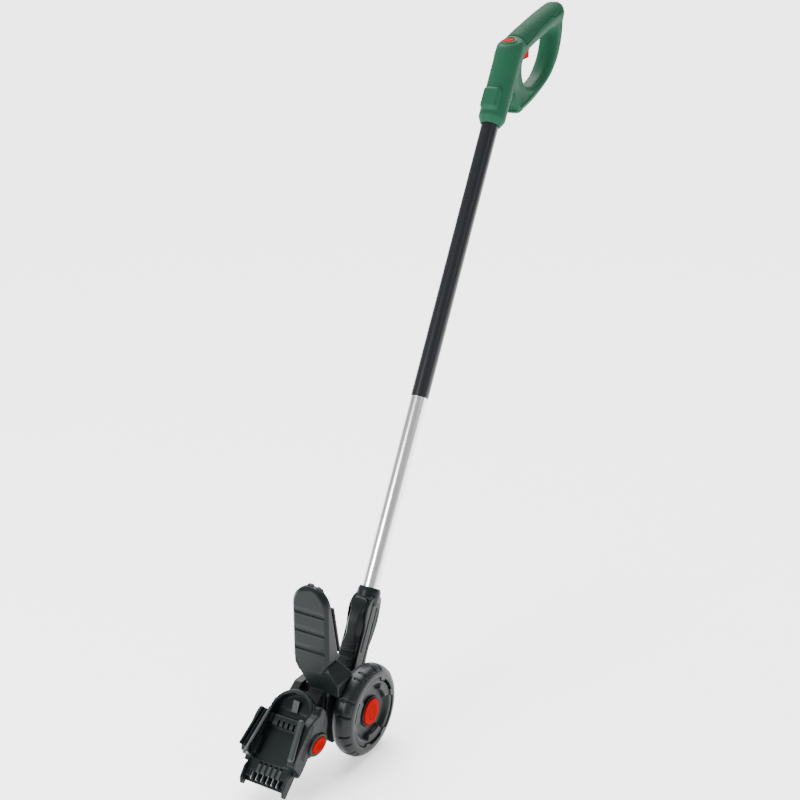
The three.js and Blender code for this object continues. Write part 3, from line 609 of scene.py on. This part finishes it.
# ---------------------------------------------------------------- joint housing and release lever
HOUSING = smooth_line([
    (-12, -13), (8, -10), (14, -14), (17, -28), (18.5, -46), (16, -66), (13, -84), (15, -128), (-6, -137),
    (-13, -132), (-15, -118), (-14.6, -100), (-14, -60), (-17.8, -44), (-19.8, -28)], True, 4)
HOUSING_SCREWS = [(14.2, -38), (4, -82)]
LEVER_PIVOT = (-16.6, -30)
LEVER_HALF = 12.6
HOUSING_HALF = 15.4
HOUSING_COLLAR_R = 16.6
FORK_R = 13
FORK_GAP_HALF = 10
TUBE_BORE = 12.1
TUBE_END = -45.3


def housing_field(x, t, s):
    """Collar, tapering body and fork, open in front for the lever."""
    across = np.abs(x)
    r = np.hypot(x, t)
    collar = np.maximum(np.maximum(r - HOUSING_COLLAR_R, np.abs(s + 12) - 12), (r - 14.6 + 0.4 * s) * 0.93)
    plan = poly(HOUSING, t, s)
    d = join(collar, thick(plan, across - HOUSING_HALF, 2.2), 2.5)
    d = join(d, thick(disc(t, s, TILT_AT, FORK_R), across - HOUSING_HALF, 1.4), 0.6)
    d = np.maximum(d, s)
    split = np.where((s < -19) & (s > -108) & (across > 9), t - 5, 9)
    d = groove(d, split, 1.0, 1.5)
    ledge = np.where((s < -19) & (s > -88) & (across > 9), t + 6, 9)
    d = d + 0.9 * rise(-ledge, 0, 1.2) * (np.abs(ledge) < 5) * rise(across, 10, 12)
    grip = rise(t, 8, 10) * rise(s, -74, -70) * rise(-s, 26, 30)
    d = d + 0.32 * grip * np.sin((t + s) * 2.2) * np.sin((t - s) * 2.2)
    ring = np.where(across > 12, disc(t, s, TILT_AT, 8.2), 9)
    d = groove(d, ring, 0.8, 0.7)
    wells = [
        np.maximum(r - TUBE_BORE, TUBE_END - s),
        disc(t, s, TILT_AT, PIN_BORE),
        np.maximum(across - FORK_GAP_HALF, s + 107),
        np.maximum(np.maximum(across - 13, t + 7.2), s + 47),
        block(x, t, s, (-13, -60, -48), (13, -12.3, -30)),
        block(x, t, s, (-13, -60, -31), (13, -13.5, -14)),
        np.maximum(disc(t, s, LEVER_PIVOT, SMALL_PIN_BORE), across - 14.2),
        np.maximum(np.hypot(x, s + 88) - 4.6, np.abs(t + 5.25) - 3.75),
    ]
    return without(d, wells + screw_wells(x, t, s, HOUSING_SCREWS, 1, 12))


made("housing_shell", housing_field, (-17, -21, -143), (17, 21, 1), 0.62, POLE, "lower_pole", DARK,
     ("joint_housing_right", "joint_housing_left"), keep=0.5)

LEVER = smooth_line([
    (-14, -17), (-17.2, -16), (-20, -22), (-22.8, -33), (-24, -46), (-22.8, -58), (-20, -70), (-18.2, -82)],
    False, 4) + [
    (-18.8, -88), (-16.6, -90), (-18.6, -99), (-16.2, -101), (-17.6, -110), (-15.2, -112), (-15.8, -118),
    (-12.8, -118), (-13, -60), (-13, -32), (-14, -32)]
LEVER_FRONT = smooth_line([
    (-17.2, -16), (-20, -22), (-22.8, -33), (-24, -46), (-22.8, -58), (-20, -70), (-18.2, -82),
    (-18.4, -120)], False, 4)


def lever_field(x, t, s):
    """The bulging lever, narrow at its waist, with steps near its foot and an eye for its pin."""
    across = np.abs(x)
    plan = poly(LEVER, t, s)
    d = thick(plan, across - LEVER_HALF, 0.9)
    depth = path(LEVER_FRONT, t, s)
    width = 7 + 4.5 * rise(-s, 66, 84) + 5 * rise(s, -40, -20)
    d = both(d, (across - width - 0.75 * depth) * 0.8, 1.0)
    d = both(d, (across - 7.5 + (s + 16)) * 0.71, 1.5)
    d = np.minimum(d, np.maximum(disc(t, s, LEVER_PIVOT, 3.6), across - LEVER_HALF))
    d = np.minimum(d, np.maximum(np.hypot(x, s + 88) - 2.4, np.abs(t + 13) - 1.5))
    return np.maximum(d, -disc(t, s, LEVER_PIVOT, SMALL_PIN_BORE))


made("lever_blade", lever_field, (-13.5, -25, -120), (13.5, -10.5, -14.5), 0.5, POLE, "release_lever", DARK,
     ("release_lever",), keep=0.5)


# ---------------------------------------------------------------- battery plate
def arc(centre, radius, start, stop, count):
    angles = [math.radians(start + (stop - start) * i / (count - 1)) for i in range(count)]
    return [(centre[0] + radius * math.cos(a), centre[1] + radius * math.sin(a)) for a in angles]


PLATE_HALF = 28
PLATE_FRONT = -58
PLATE_BACK = -47
PLATE_TOP = arc((0, 227), PLATE_HALF, 0, 180, 25)
PLATE_ARCH = [(-18, 133), (18, 133), (PLATE_HALF, 151)] + PLATE_TOP + [(-PLATE_HALF, 151)]
PLATE_RIM = [(-PLATE_HALF, 100), (PLATE_HALF, 100)] + PLATE_TOP
PLATE_SIDE = [(PLATE_FRONT, 133), (PLATE_FRONT, 257), (PLATE_BACK, 257), (PLATE_BACK, 226), (-34, 160),
              (-30, 155), (-32.5, 146), (-48, 133)]
LEDGES = (164, 190, 216)


def plate_field(x, y, z):
    """A round-topped plate with a bevelled rim and a panel stepped by three ledges."""
    plan = poly(PLATE_ARCH, x, z)
    side = poly(PLATE_SIDE, y, z)
    d = both(plan, side, 1.0)
    front = PLATE_FRONT - y
    d = both(d, (poly(PLATE_RIM, x, z) + front + 4.6) * 0.707, 0.4)
    panel = rise(-plan, 3.8, 4.6)
    sunk = sum(1.9 * np.clip(1 - (z - at) / 9, 0, 1) * rise(z, at - 0.7, at + 0.5) for at in LEDGES)
    lifted = sum(0.5 * rise(z, at - 3.4, at - 2.2) * (1 - rise(z, at - 0.7, at + 0.5)) for at in LEDGES)
    d = np.maximum(d, front + panel * sunk)
    d = d + 0.25 * panel * (1 - lifted * 2) * (y < -53)
    for across in (-1.5, 13):
        lump = np.maximum(plan - 2.3, np.abs(x - across) - 4)
        lump = np.maximum(lump, np.maximum(np.abs(y + 49.6) - 2.4, 240 - z))
        d = join(d, lump, 1.0)
    pad = np.maximum(block(x, y, z, (-16, -60, 172), (16, -20, 222), 1), side - 0.8)
    return np.minimum(d, np.maximum(pad, PLATE_BACK - y))


made("plate_shell", plate_field, (-29.5, -59.5, 132), (29.5, -28.5, 258.5), 0.62, HEAD, "head", DARK,
     ("battery_plate",), keep=0.5)


# ---------------------------------------------------------------- head bracket
TILT_YZ = HEAD.inverted() @ tilt
TRAY_PIVOT = (-106, 66)
TRAY_TILT = 43
TRAY_TRAVEL = 16
TRAY_ROOM = 3.7
TRAY_TOP_T = 57
LEG_END_R = 8.5
ARM_HUB_R = 13
WHEEL_GAP = 2.5
WEDGE = [(-57, 140), (-54, 107), (-12, 92), (-5, 104), (-15, 120), (-32, 148), (-46, 158)]
WEDGE_FRONT = [(-18, 132.7), (-2, 109), (60, 106), (60, 170), (27.7, 170), (27.7, 150.9), (18, 133.2)]
BEAM = [(-52, 111), (-30, 111), (-34, 92), (-102, 59), (-110, 73)]
ARM = smooth_line([
    (-44, 111), (-8, 104), (14, 76), (13, 52), (-10, 27), (-28, 16), (-48, 30), (-58, 44),
    (-58, 86)], True, 4)
AXLE = (0, WHEEL_R)
LEG_SPANS = ((-30, -17), (-3, 19))


def tray_room(y, z, degrees):
    """The space that the tray takes up at this tilt."""
    c, k = cos_sin(degrees)
    t = (y - TRAY_PIVOT[0]) * c + (z - TRAY_PIVOT[1]) * k
    n = (z - TRAY_PIVOT[1]) * c - (y - TRAY_PIVOT[0]) * k
    return np.maximum(np.maximum(TRAY_ROOM - n, t - TRAY_TOP_T), -90 - t)


def bracket_field(x, y, z):
    """Hood under the plate, tongue to the tilt pin, two legs to the tray and the arm to the axle."""
    hood = both(thick(poly(WEDGE, y, z), np.abs(x - 11.5) - 30.5, 2), poly(WEDGE_FRONT, x, z), 0.3)
    hood = both(hood, (z - 145 + 1.4 * (x - 27)) * 0.58, 1.5)
    ty, tz = TILT_YZ.y, TILT_YZ.z
    neck = [(-32, 108), (-12, 103), (4, 91), (ty - 8, tz + 9), (ty - 4, tz - 12), (-6, 74), (-30, 90)]
    tongue = np.minimum(poly(neck, y, z), disc(y, z, (ty, tz), 13))
    d = join(hood, thick(tongue, np.abs(x) - 9.6, 1.5), 1.5)
    d = join(d, block(x, y, z, (-29, -46, 93), (23.5, -31, 109), 1.2), 1.5)
    legs = poly(BEAM, y, z)
    for degrees in (TRAY_TILT, TRAY_TILT + TRAY_TRAVEL):
        legs = np.maximum(legs, -tray_room(y, z, degrees))
    legs = np.minimum(legs, disc(y, z, TRAY_PIVOT, LEG_END_R))
    for left, right in LEG_SPANS:
        d = join(d, thick(legs, np.abs(x - (left + right) / 2) - (right - left) / 2, 1.2), 1.2)
    arm = thick(poly(ARM, y, z) + 1, np.abs(x - 21.5) - 3, 1.2)
    hub = np.maximum(disc(y, z, AXLE, ARM_HUB_R), np.abs(x - 22.4) - 3.9)
    d = join(join(d, arm, 1.2), hub, 1.0)
    wells = [
        np.maximum(disc(y, z, AXLE, WHEEL_R + WHEEL_GAP), 26.3 - x),
        np.maximum(disc(y, z, AXLE, PIN_BORE), -x),
        np.maximum(disc(y, z, (ty, tz), PIN_BORE), np.abs(x) - 30),
        disc(y, z, TRAY_PIVOT, PIN_BORE),
    ]
    return without(d, wells)


made("bracket_casting", bracket_field, (-31.5, -118, 28), (43.5, 40, 160), 0.8, HEAD, "head", DARK,
     ("head_bracket",), keep=0.5)


# ---------------------------------------------------------------- wheel
TYRE_MID = 45.8
TYRE_HALF = 15.7
THIRDS = (35, 155, 275)
# Each cut in the tread: its angle round the wheel, and the x where it starts
TREAD = [(101, 46), (112, 46), (142, 42), (161, 42), (188, 46), (201, 52), (221, 44), (232, 44), (262, 46),
         (281, 42), (308, 46), (321, 52), (341, 44), (352, 44), (22, 46), (41, 42), (68, 46), (81, 52)]
HUB_X = 58.5
SHOULDER_R = 13.5
CUT_DEPTH = 2.1
CUT_HALF = 1.9
CAP_R = 18.3


def polar(y, z):
    """Distance from the axle, and angle round it in degrees."""
    return np.hypot(y, z - WHEEL_R), np.degrees(np.arctan2(z - WHEEL_R, y))


def apart(angle, other):
    """The angle between two directions, from 0 to 180."""
    return np.abs((angle - other + 180) % 360 - 180)


def in_third(rho, angle, half):
    """Distance in mm beyond the nearest of the three wide notches, measured round the wheel."""
    return np.minimum.reduce([(apart(angle, third) - half) for third in THIRDS]) * np.radians(1) * rho


def seam_radius(rho, angle):
    """Where tyre and rim meet: further out between the wide notches than across them."""
    return 42.6 + 4.6 * rise(in_third(rho, angle, 31), -1.5, 1.5)


def tyre_field(x, y, z):
    """A round-shouldered tyre with cuts across its outer half, open in the middle for the rim."""
    rho, angle = polar(y, z)
    d = thick(np.abs(x - TYRE_MID) - TYRE_HALF, rho - WHEEL_R, SHOULDER_R)
    d = d + 0.3 * np.exp(-((rho - 56.5) / 0.7) ** 2) * (x > TYRE_MID)
    for turn, start in TREAD:
        aside = apart(angle, turn) * np.radians(1) * rho
        reach = rise(x, start - 1, start + 1) * rise(rho, 55, 57)
        d = d + CUT_DEPTH * reach * np.clip(1 - (aside / CUT_HALF) ** 2, 0, 1)
    inner = seam_radius(rho, angle) + 0.7 - rho
    inner = np.where(x > TYRE_MID, inner, 47 - rho)
    d = both(d, inner, 0.8)
    slot = np.maximum(np.maximum(np.abs(rho - 44.6) - 1.7, in_third(rho, angle, 17)), 50 - x)
    return carve(d, slot, 0.5)


made("tyre_tread", tyre_field, (27.5, -64.5, -1.5), (62.5, 64.5, 127.5), 0.8, HEAD, "wheel", RUBBER,
     ("tyre",), keep=0.5)


def rim_field(x, y, z):
    """The dish with three raised wedges, the ring under the tyre and the core round the axle."""
    rho, angle = polar(y, z)
    notch = in_third(rho, angle, 24)
    inside = 1 - rise(notch, -1.6, 1.6)
    face = 54 + 6.2 * rise(rho, 32, 42)
    spoke = 54 + 5.8 * rise(rho, 28.5, 32)
    front = face * (1 - inside) + np.maximum(face, spoke) * inside
    front = np.where(rho < 21.4, 56.5, front)
    front = front + 1.2 * np.exp(-((rho - 20.2) / 0.9) ** 2)
    dish = (x - front) * 0.72
    edge = rho - seam_radius(rho, angle)
    d = both(both(edge, dish, 0.8), 36.5 - x, 0.8)
    ring = np.maximum(np.abs(rho - 44.4) - 2.2, np.abs(x - 39) - 7.5)
    d = np.minimum(d, ring)
    core = np.maximum(np.abs(rho - 8.25) - 3.75, np.abs(x - 37.5) - 5)
    d = np.minimum(d, core)
    d = np.maximum(d, 4.5 - rho)
    return np.maximum(d, -np.maximum(rho - 9.4, HUB_X - 8 - x))


made("rim_dish", rim_field, (30.5, -49, 14), (61.5, 49, 112), 0.75, HEAD, "wheel", DARK,
     ("wheel_rim",), keep=0.5)


def cap_field(x, y, z):
    """A shallow dome whose middle is cross-hatched."""
    rho, _ = polar(y, z)
    dome = x - (HUB_X + 1.75 - (rho / CAP_R) ** 2 * 1.5)
    d = both(both(rho - CAP_R, dome, 1.2), HUB_X - 1.6 - x)
    field = rise(-rho, -11.8, -11)
    cross = np.sin((y + z) * 2.0) * np.sin((y - z) * 2.0)
    return d + field * (0.3 + 0.22 * cross) * (x > HUB_X)


made("cap_dome", cap_field, (56, -19, 44), (61.5, 19, 82), 0.4, HEAD, "wheel", RED,
     ("hub_cap",))


# ---------------------------------------------------------------- tray
ARCH_T = 22.5
LIP_T = -72
CHEEK = (9, 19)
CHEEK_R = 34
SIDE_OUT = 32
FLOOR_N = 10
LEFT_WALL_END = 18
BEAD_AT = (28.8, 20.3)
PITCH = 8
BUTTON_HALF_LENGTH = 14.2
BUTTON_HALF_WIDTH = 9.8
OPEN_FOOT = [(-95, 6), (-66, 6), (-66, 12), (-44, 12), (-36, 60), (-95, 60)]
CHEEK_WALL = smooth_line([
    (-46, 5), (-46, 20), (-36, 32.5), (-4, 33), (12, 32), (25, 26.5), (36, 17), (39, 7), (26, 4),
    (-10, 4)], True, 4)
BAND = [(-30, -60), (30, -60), (30, -41), (16, -41), (13, -43.5), (-13, -43.5), (-16, -41), (-30, -41)]
EAR = [(-77, 3), (-40, 3), (-40, 10), (-56, 19), (-72, 17), (-78, 11)]


def level(t, n):
    """Tray coordinates turned back to the ground: forward-back and up."""
    c, k = cos_sin(TRAY_TILT)
    return t * c - n * k, t * k + n * c


def tray_walls(side, t, n):
    """The straight walls and the lower round end with its bead."""
    outer = np.maximum(side - SIDE_OUT, LIP_T - t)
    d = thick(outer, np.abs(n - 18.3) - 14.3, 1.5)
    d = np.maximum(d, both(n - 21, 17 - t))
    low_wall = thick(outer, np.abs(n - 12.7) - 8.7, 1.5)
    d = np.minimum(d, low_wall)
    bead = np.maximum(np.hypot((side - BEAD_AT[0]) / 1.25, n - BEAD_AT[1]) - 2.9, 14 - t)
    return join(d, bead, 0.8)


def tray_cheeks(x, t, n):
    """The wall and the round disc outside each side: the left wall ends early, the left disc stays low."""
    flank = np.abs(np.abs(x) - 36) - 6
    wall = thick(poly(CHEEK_WALL, t, n), flank, 2.4)
    wall = np.where(x < 0, np.maximum(wall, t - LEFT_WALL_END), wall)
    cheek = thick(disc(t, n, CHEEK, CHEEK_R), flank, 2.6)
    cheek = np.where(x > 0, both(cheek, n - 24, 6), np.maximum(cheek, n - 4))
    return wall, cheek


def tray_lugs(x, t, n):
    lugs = np.minimum(block(x, t, n, (-29, -38, 12), (-25.6, -14, 20), 1.2),
                      block(x, t, n, (-29, 6, 12), (-23.6, 17, 19), 1.2))
    return np.minimum(lugs, block(x, t, n, (25.6, -38, 12), (29, -14, 20), 1.2))


def tray_wells(x, t, n, button):
    """The front trough, the notch, the shaft's bore, the button's seat, the slits and the legs' slots."""
    wells = [
        block(x, t, n, (-24, LIP_T + 1.5, 5.8), (24, -58, 30), 0.4),
        block(x, t, n, (-8, 42, 16.5), (8, 51, 21.5), 0.8),
        np.maximum(disc(t, n, (0, 0), PIN_BORE), np.abs(x + 2.5) - 39),
        np.maximum(button - 0.35, 35 - x),
        np.maximum(button - 1.6, np.abs(x - 38) - 3),
    ]
    for i in range(5):
        at = PITCH * (i - 2)
        wells.append(block(x, t, n, (at - 1.5, -47.2, 8.5), (at + 1.5, -44.4, 14), 0.5))
    for left, right in LEG_SPANS:
        across = np.abs(x - (left + right) / 2) - (right - left) / 2 - 0.3
        wells.append(np.maximum(disc(t, n, (0, 0), 8.8), across))
    return wells


def tray_field(x, t, n):
    """The whole tray: walls, cheeks, floor steps, front ears, button boss, hatch and every opening."""
    side = np.where(t > ARCH_T, np.hypot(x, t - ARCH_T), np.abs(x))
    d = tray_walls(side, t, n)
    wall, cheek = tray_cheeks(x, t, n)
    d = join(join(d, wall, 1.2), cheek, 1.0)
    shelf = np.where(t > 20, side - 27.2, side - 28.5)
    hollow = np.maximum(np.maximum(shelf, -69 - t), FLOOR_N - n)
    d = carve(d, hollow, 0.8)
    upper_floor = block(x, t, n, (-28.3, 2, 9), (28.3, 52, 11.2), 0.4)
    d = np.minimum(d, np.maximum(upper_floor, side - 28.6))
    d = carve(d, poly(OPEN_FOOT, t, n), 0.8)
    d = np.maximum(d, -block(x, t, n, (-36, -40, -40), (36, 70, 3.9)))
    ear = thick(poly(EAR, t, n), np.abs(np.abs(x) - 32.5) - 1.5, 1.1)
    d = join(d, ear, 0.5)
    band = block(x, t, n, (-28.3, -58, 9), (28.3, -42, 11.2), 0.4)
    d = np.minimum(d, np.maximum(band, poly(BAND, x, t)))
    d = np.minimum(d, tray_lugs(x, t, n))
    y, z = level(t, n)
    button = oval(y, z, BUTTON_HALF_LENGTH, BUTTON_HALF_WIDTH)
    boss = thick(button - 4, np.abs(x - 43) - 2.5, 1.6)
    d = join(d, boss, 1.0)
    lean = n - 24 - 0.24 * (t + 5)
    hatch = rise(x, 40, 41) * rise(lean, -4.5, -3.5) * rise(-lean, -4.5, -3.5)
    hatch = hatch * rise(t, -28, -27) * rise(-t, -17, -16)
    d = d + 0.4 * hatch * (1 + np.sin((t + n) * 2.0) * np.sin((t - n) * 2.0))
    seam = np.where((n > 9) & (n < 12) & (side < 28.4), t - 27.8, 9)
    d = groove(d, seam, 0.6, 0.7)
    return without(d, tray_wells(x, t, n, button))


made("tray_shell", tray_field, (-43, -79, -16.5), (46.5, 57, 35.5), 0.7, TRAY, "tray", DARK,
     ("tray_body",), keep=0.5)


def tab_field(x, t, n):
    """Five flat tabs in a row on the front of the floor."""
    d = 9.0
    for i in range(5):
        at = PITCH * (i - 2)
        d = np.minimum(d, block(x, t, n, (at - 2.4, -59.4, 10.5), (at + 2.4, -47.6, 12.4), 0.6))
    return np.maximum(d, 11.25 - n)


made("floor_tabs", tab_field, (-20, -60.5, 10), (20, -46, 13.5), 0.4, TRAY, "tray", PALE)


RAIL_FLARE = 9
RAIL_X = 32
RAIL_LOW = (-4, -37, 33.3)
RAIL_HIGH = (4, 17, 40)


def rail_axes(x, t, side):
    """(across, along) the rail on the right, side 1, or the left, side -1: they flare to the front."""
    c, k = cos_sin(RAIL_FLARE * side)
    dx = x - side * RAIL_X
    return dx * c + t * k, -dx * k + t * c


def right_rail_field(x, t, n):
    u, v = rail_axes(x, t, 1)
    return block(u, v, n, RAIL_LOW, RAIL_HIGH, 2.9)


def left_rail_field(x, t, n):
    u, v = rail_axes(x, t, -1)
    d = block(u, v, n, RAIL_LOW, RAIL_HIGH, 1.0)
    return carve(d, block(u, v, n, (-0.8, -41, 34.6), (3.1, 24, 44), 0.5), 0.3)


def edge_field(x, t, n):
    """The thin strip along the inner lip of the left rail, which carries a painted highlight."""
    start, end = np.array((-24.2, 21)), np.array((-33, -46))
    along = (end - start) / np.linalg.norm(end - start)
    run = (x - start[0]) * along[0] + (t - start[1]) * along[1]
    off = (x - start[0]) * along[1] - (t - start[1]) * along[0]
    return block(run, off, n, (0, -0.7, 30), (67, 0.7, 35.4), 0.5)


# Painted highlight: a thin light strip on the left rail's inner lip, standing in for the light that edge
# catches.
made("rail_left_edge", edge_field, (-36, -49, 29), (-22, 24, 36.5), 0.35, TRAY, "tray", PAINTED_HIGHLIGHT)
made("rail_right_bar", right_rail_field, (24, -39, 32.5), (44, 19, 40.8), 0.5, TRAY, "tray", PALE,
     ("tray_rail_right",))
made("rail_left_channel", left_rail_field, (-44, -39, 32.5), (-24, 19, 40.8), 0.4, TRAY, "tray", DARK,
     ("tray_rail_left",))


def comb_field(x, t, n):
    """A raised bar with four slits open to the front."""
    d = block(x, t, n, (-22, 3, 9), (22, 17, 19), 1.8)
    d = both(d, (n - 19 - (t - 9) * 0.16) * 0.98, 0.5)
    for i in range(4):
        at = PITCH * (i - 1.5)
        d = carve(d, block(x, t, n, (at - 0.85, -4, 5), (at + 0.85, 11, 30), 0.4), 1.4)
    return np.maximum(d, 10.3 - n)


made("comb_teeth", comb_field, (-23, 2, 9.5), (23, 18, 20), 0.4, TRAY, "tray", DARK,
     ("tray_comb",))


def catch_field(x, t, n):
    """A small wedge that rises to the back."""
    d = block(x, t, n, (-5, 26, 9), (5, 41, 19), 1.0)
    return np.maximum(both(d, (n - 13 - (t - 26) * 0.4) * 0.93, 0.8), 10.3 - n)


made("catch_tab", catch_field, (-6, 25, 9.5), (6, 42, 20), 0.4, TRAY, "tray", PALE,
     ("tray_catch",))


def side_button_field(x, t, n):
    """The oval button, upright while the tray slopes, with a hatched patch and a foot inside the wall."""
    y, z = level(t, n)
    d = thick(oval(y, z, BUTTON_HALF_LENGTH, BUTTON_HALF_WIDTH), np.abs(x - 42.85) - 4.15, 1.9)
    patch = rise(-oval(y, z, 7.6, 4.9), -0.3, 0.5)
    d = d + patch * (x > 44) * (0.25 + 0.22 * np.sin((y + z) * 2.4) * np.sin((y - z) * 2.4))
    return np.minimum(d, np.maximum(oval(y, z, 15.4, 11), np.abs(x - 39.65) - 0.95))


made("button_cap", side_button_field, (38, -16, -15), (48, 16, 15), 0.4, TRAY, "side_button", RED,
     ("side_button",))

for i in range(1, 7):
    refined(f"contact_plate_{i}", f"contact_blade_{i}", "tray", CONTACT, 0.2)
for end in ("left", "right"):
    refined(f"battery_guide_{end}", f"battery_rail_{end}", "head", DEEP, 0.7)
refined("terminal_cover", "battery_terminal_block", "head", DEEP, 0.8)


# ---------------------------------------------------------------- what keeps its CAD shape
STEEL_NAMES = ("handle_screw", "housing_screw", "tilt_pin", "wheel_axle", "axle_clip", "axle_washer",
               "tray_pivot_shaft", "contact_blade")
DEEP_NAMES = ("release_lever_pin", "trigger_pin", "switch_block", "lock_spindle", "lock_wedge",
              "battery_rail", "battery_terminal_block")


def finish_of(name):
    """The material of a node that keeps its CAD shape."""
    if name == "upper_tube":
        return TUBE
    if name == "lower_tube":
        return BRIGHT
    if name.startswith(STEEL_NAMES) or "spring" in name:
        return STEEL
    return DEEP if name.startswith(DEEP_NAMES) else DARK


for name in nodes:
    for slot in nodes[name].material_slots:
        slot.material = finish_of(name)


# ---------------------------------------------------------------- room, light and camera
FLOOR_REACH = 160
LAMP_DISTANCE = 3.0
AZIMUTH = 31.2
ELEVATION = 18.1
CAMERA_DISTANCE = 1.797
CAMERA_LENS = 57.6
AIM_OFFSET = Vector((-0.0180, 0.1986, 0.4333))
low, high = (Vector(c) for c in CAD_BOX)
middle = (low + high) / 2


def sheet_floor(reach):
    """A wide pale floor at the lowest point of the object."""
    mesh = bpy.data.meshes.new("floor")
    corners = [(x * reach, y * reach, low.z) for x, y in ((-1, -1), (1, -1), (1, 1), (-1, 1))]
    mesh.from_pydata(corners, [], [(0, 1, 2, 3)])
    obj = bpy.data.objects.new("floor", mesh)
    bpy.context.scene.collection.objects.link(obj)
    m = bpy.data.materials.new("floor")
    m.use_nodes = True
    shader = m.node_tree.nodes["Principled BSDF"]
    shader.inputs["Base Color"].default_value = (0.97, 0.97, 0.97, 1)
    shader.inputs["Roughness"].default_value = 0.9
    shader.inputs["Emission Color"].default_value = (1, 1, 1, 1)
    shader.inputs["Emission Strength"].default_value = 0.9
    shader.inputs["Specular IOR Level"].default_value = 0.1
    mesh.materials.append(m)


sheet_floor(FLOOR_REACH)


def lamp(name, direction, size, power):
    """A round lamp that faces the middle of the object."""
    light = bpy.data.lights.new(name, "AREA")
    light.shape = "DISK"
    light.size = size
    light.energy = power
    obj = bpy.data.objects.new(name, light)
    d = Vector(direction).normalized()
    obj.location = middle + d * LAMP_DISTANCE
    obj.rotation_euler = d.to_track_quat("Z", "Y").to_euler()
    bpy.context.scene.collection.objects.link(obj)


lamp("key", (-0.3, -1.0, 0.3), 1.2, 95)
lamp("side", (1.2, -0.3, 0.7), 1.2, 4)
lamp("rim", (0.2, 1.2, 1.1), 2.0, 10)
sun = bpy.data.objects.new("sky", bpy.data.lights.new("sky", "SUN"))
sun.data.energy = 9.0
sun.data.angle = math.radians(60)
sun.rotation_euler = Vector((-0.35, 0.45, 1)).to_track_quat("Z", "Y").to_euler()
bpy.context.scene.collection.objects.link(sun)

world = bpy.data.worlds.new("room")
world.use_nodes = True
world.node_tree.nodes["Background"].inputs["Color"].default_value = (1, 1, 1, 1)
world.node_tree.nodes["Background"].inputs["Strength"].default_value = 0.5
bpy.context.scene.world = world

turn_cos, turn_sin = cos_sin(AZIMUTH)
lift_cos, lift_sin = cos_sin(ELEVATION)
back = Vector((turn_sin * lift_cos, -turn_cos * lift_cos, lift_sin))
right = Vector((turn_cos, turn_sin, 0))
up = back.cross(right)
camera = bpy.data.objects.new("camera", bpy.data.cameras.new("camera"))
camera.data.lens = CAMERA_LENS
camera.data.clip_end = 500
turn = Matrix((right, up, back)).transposed()
aim = ground + AIM_OFFSET
camera.matrix_world = Matrix.Translation(aim + back * CAMERA_DISTANCE) @ turn.to_4x4()
bpy.context.scene.collection.objects.link(camera)
bpy.context.scene.camera = camera
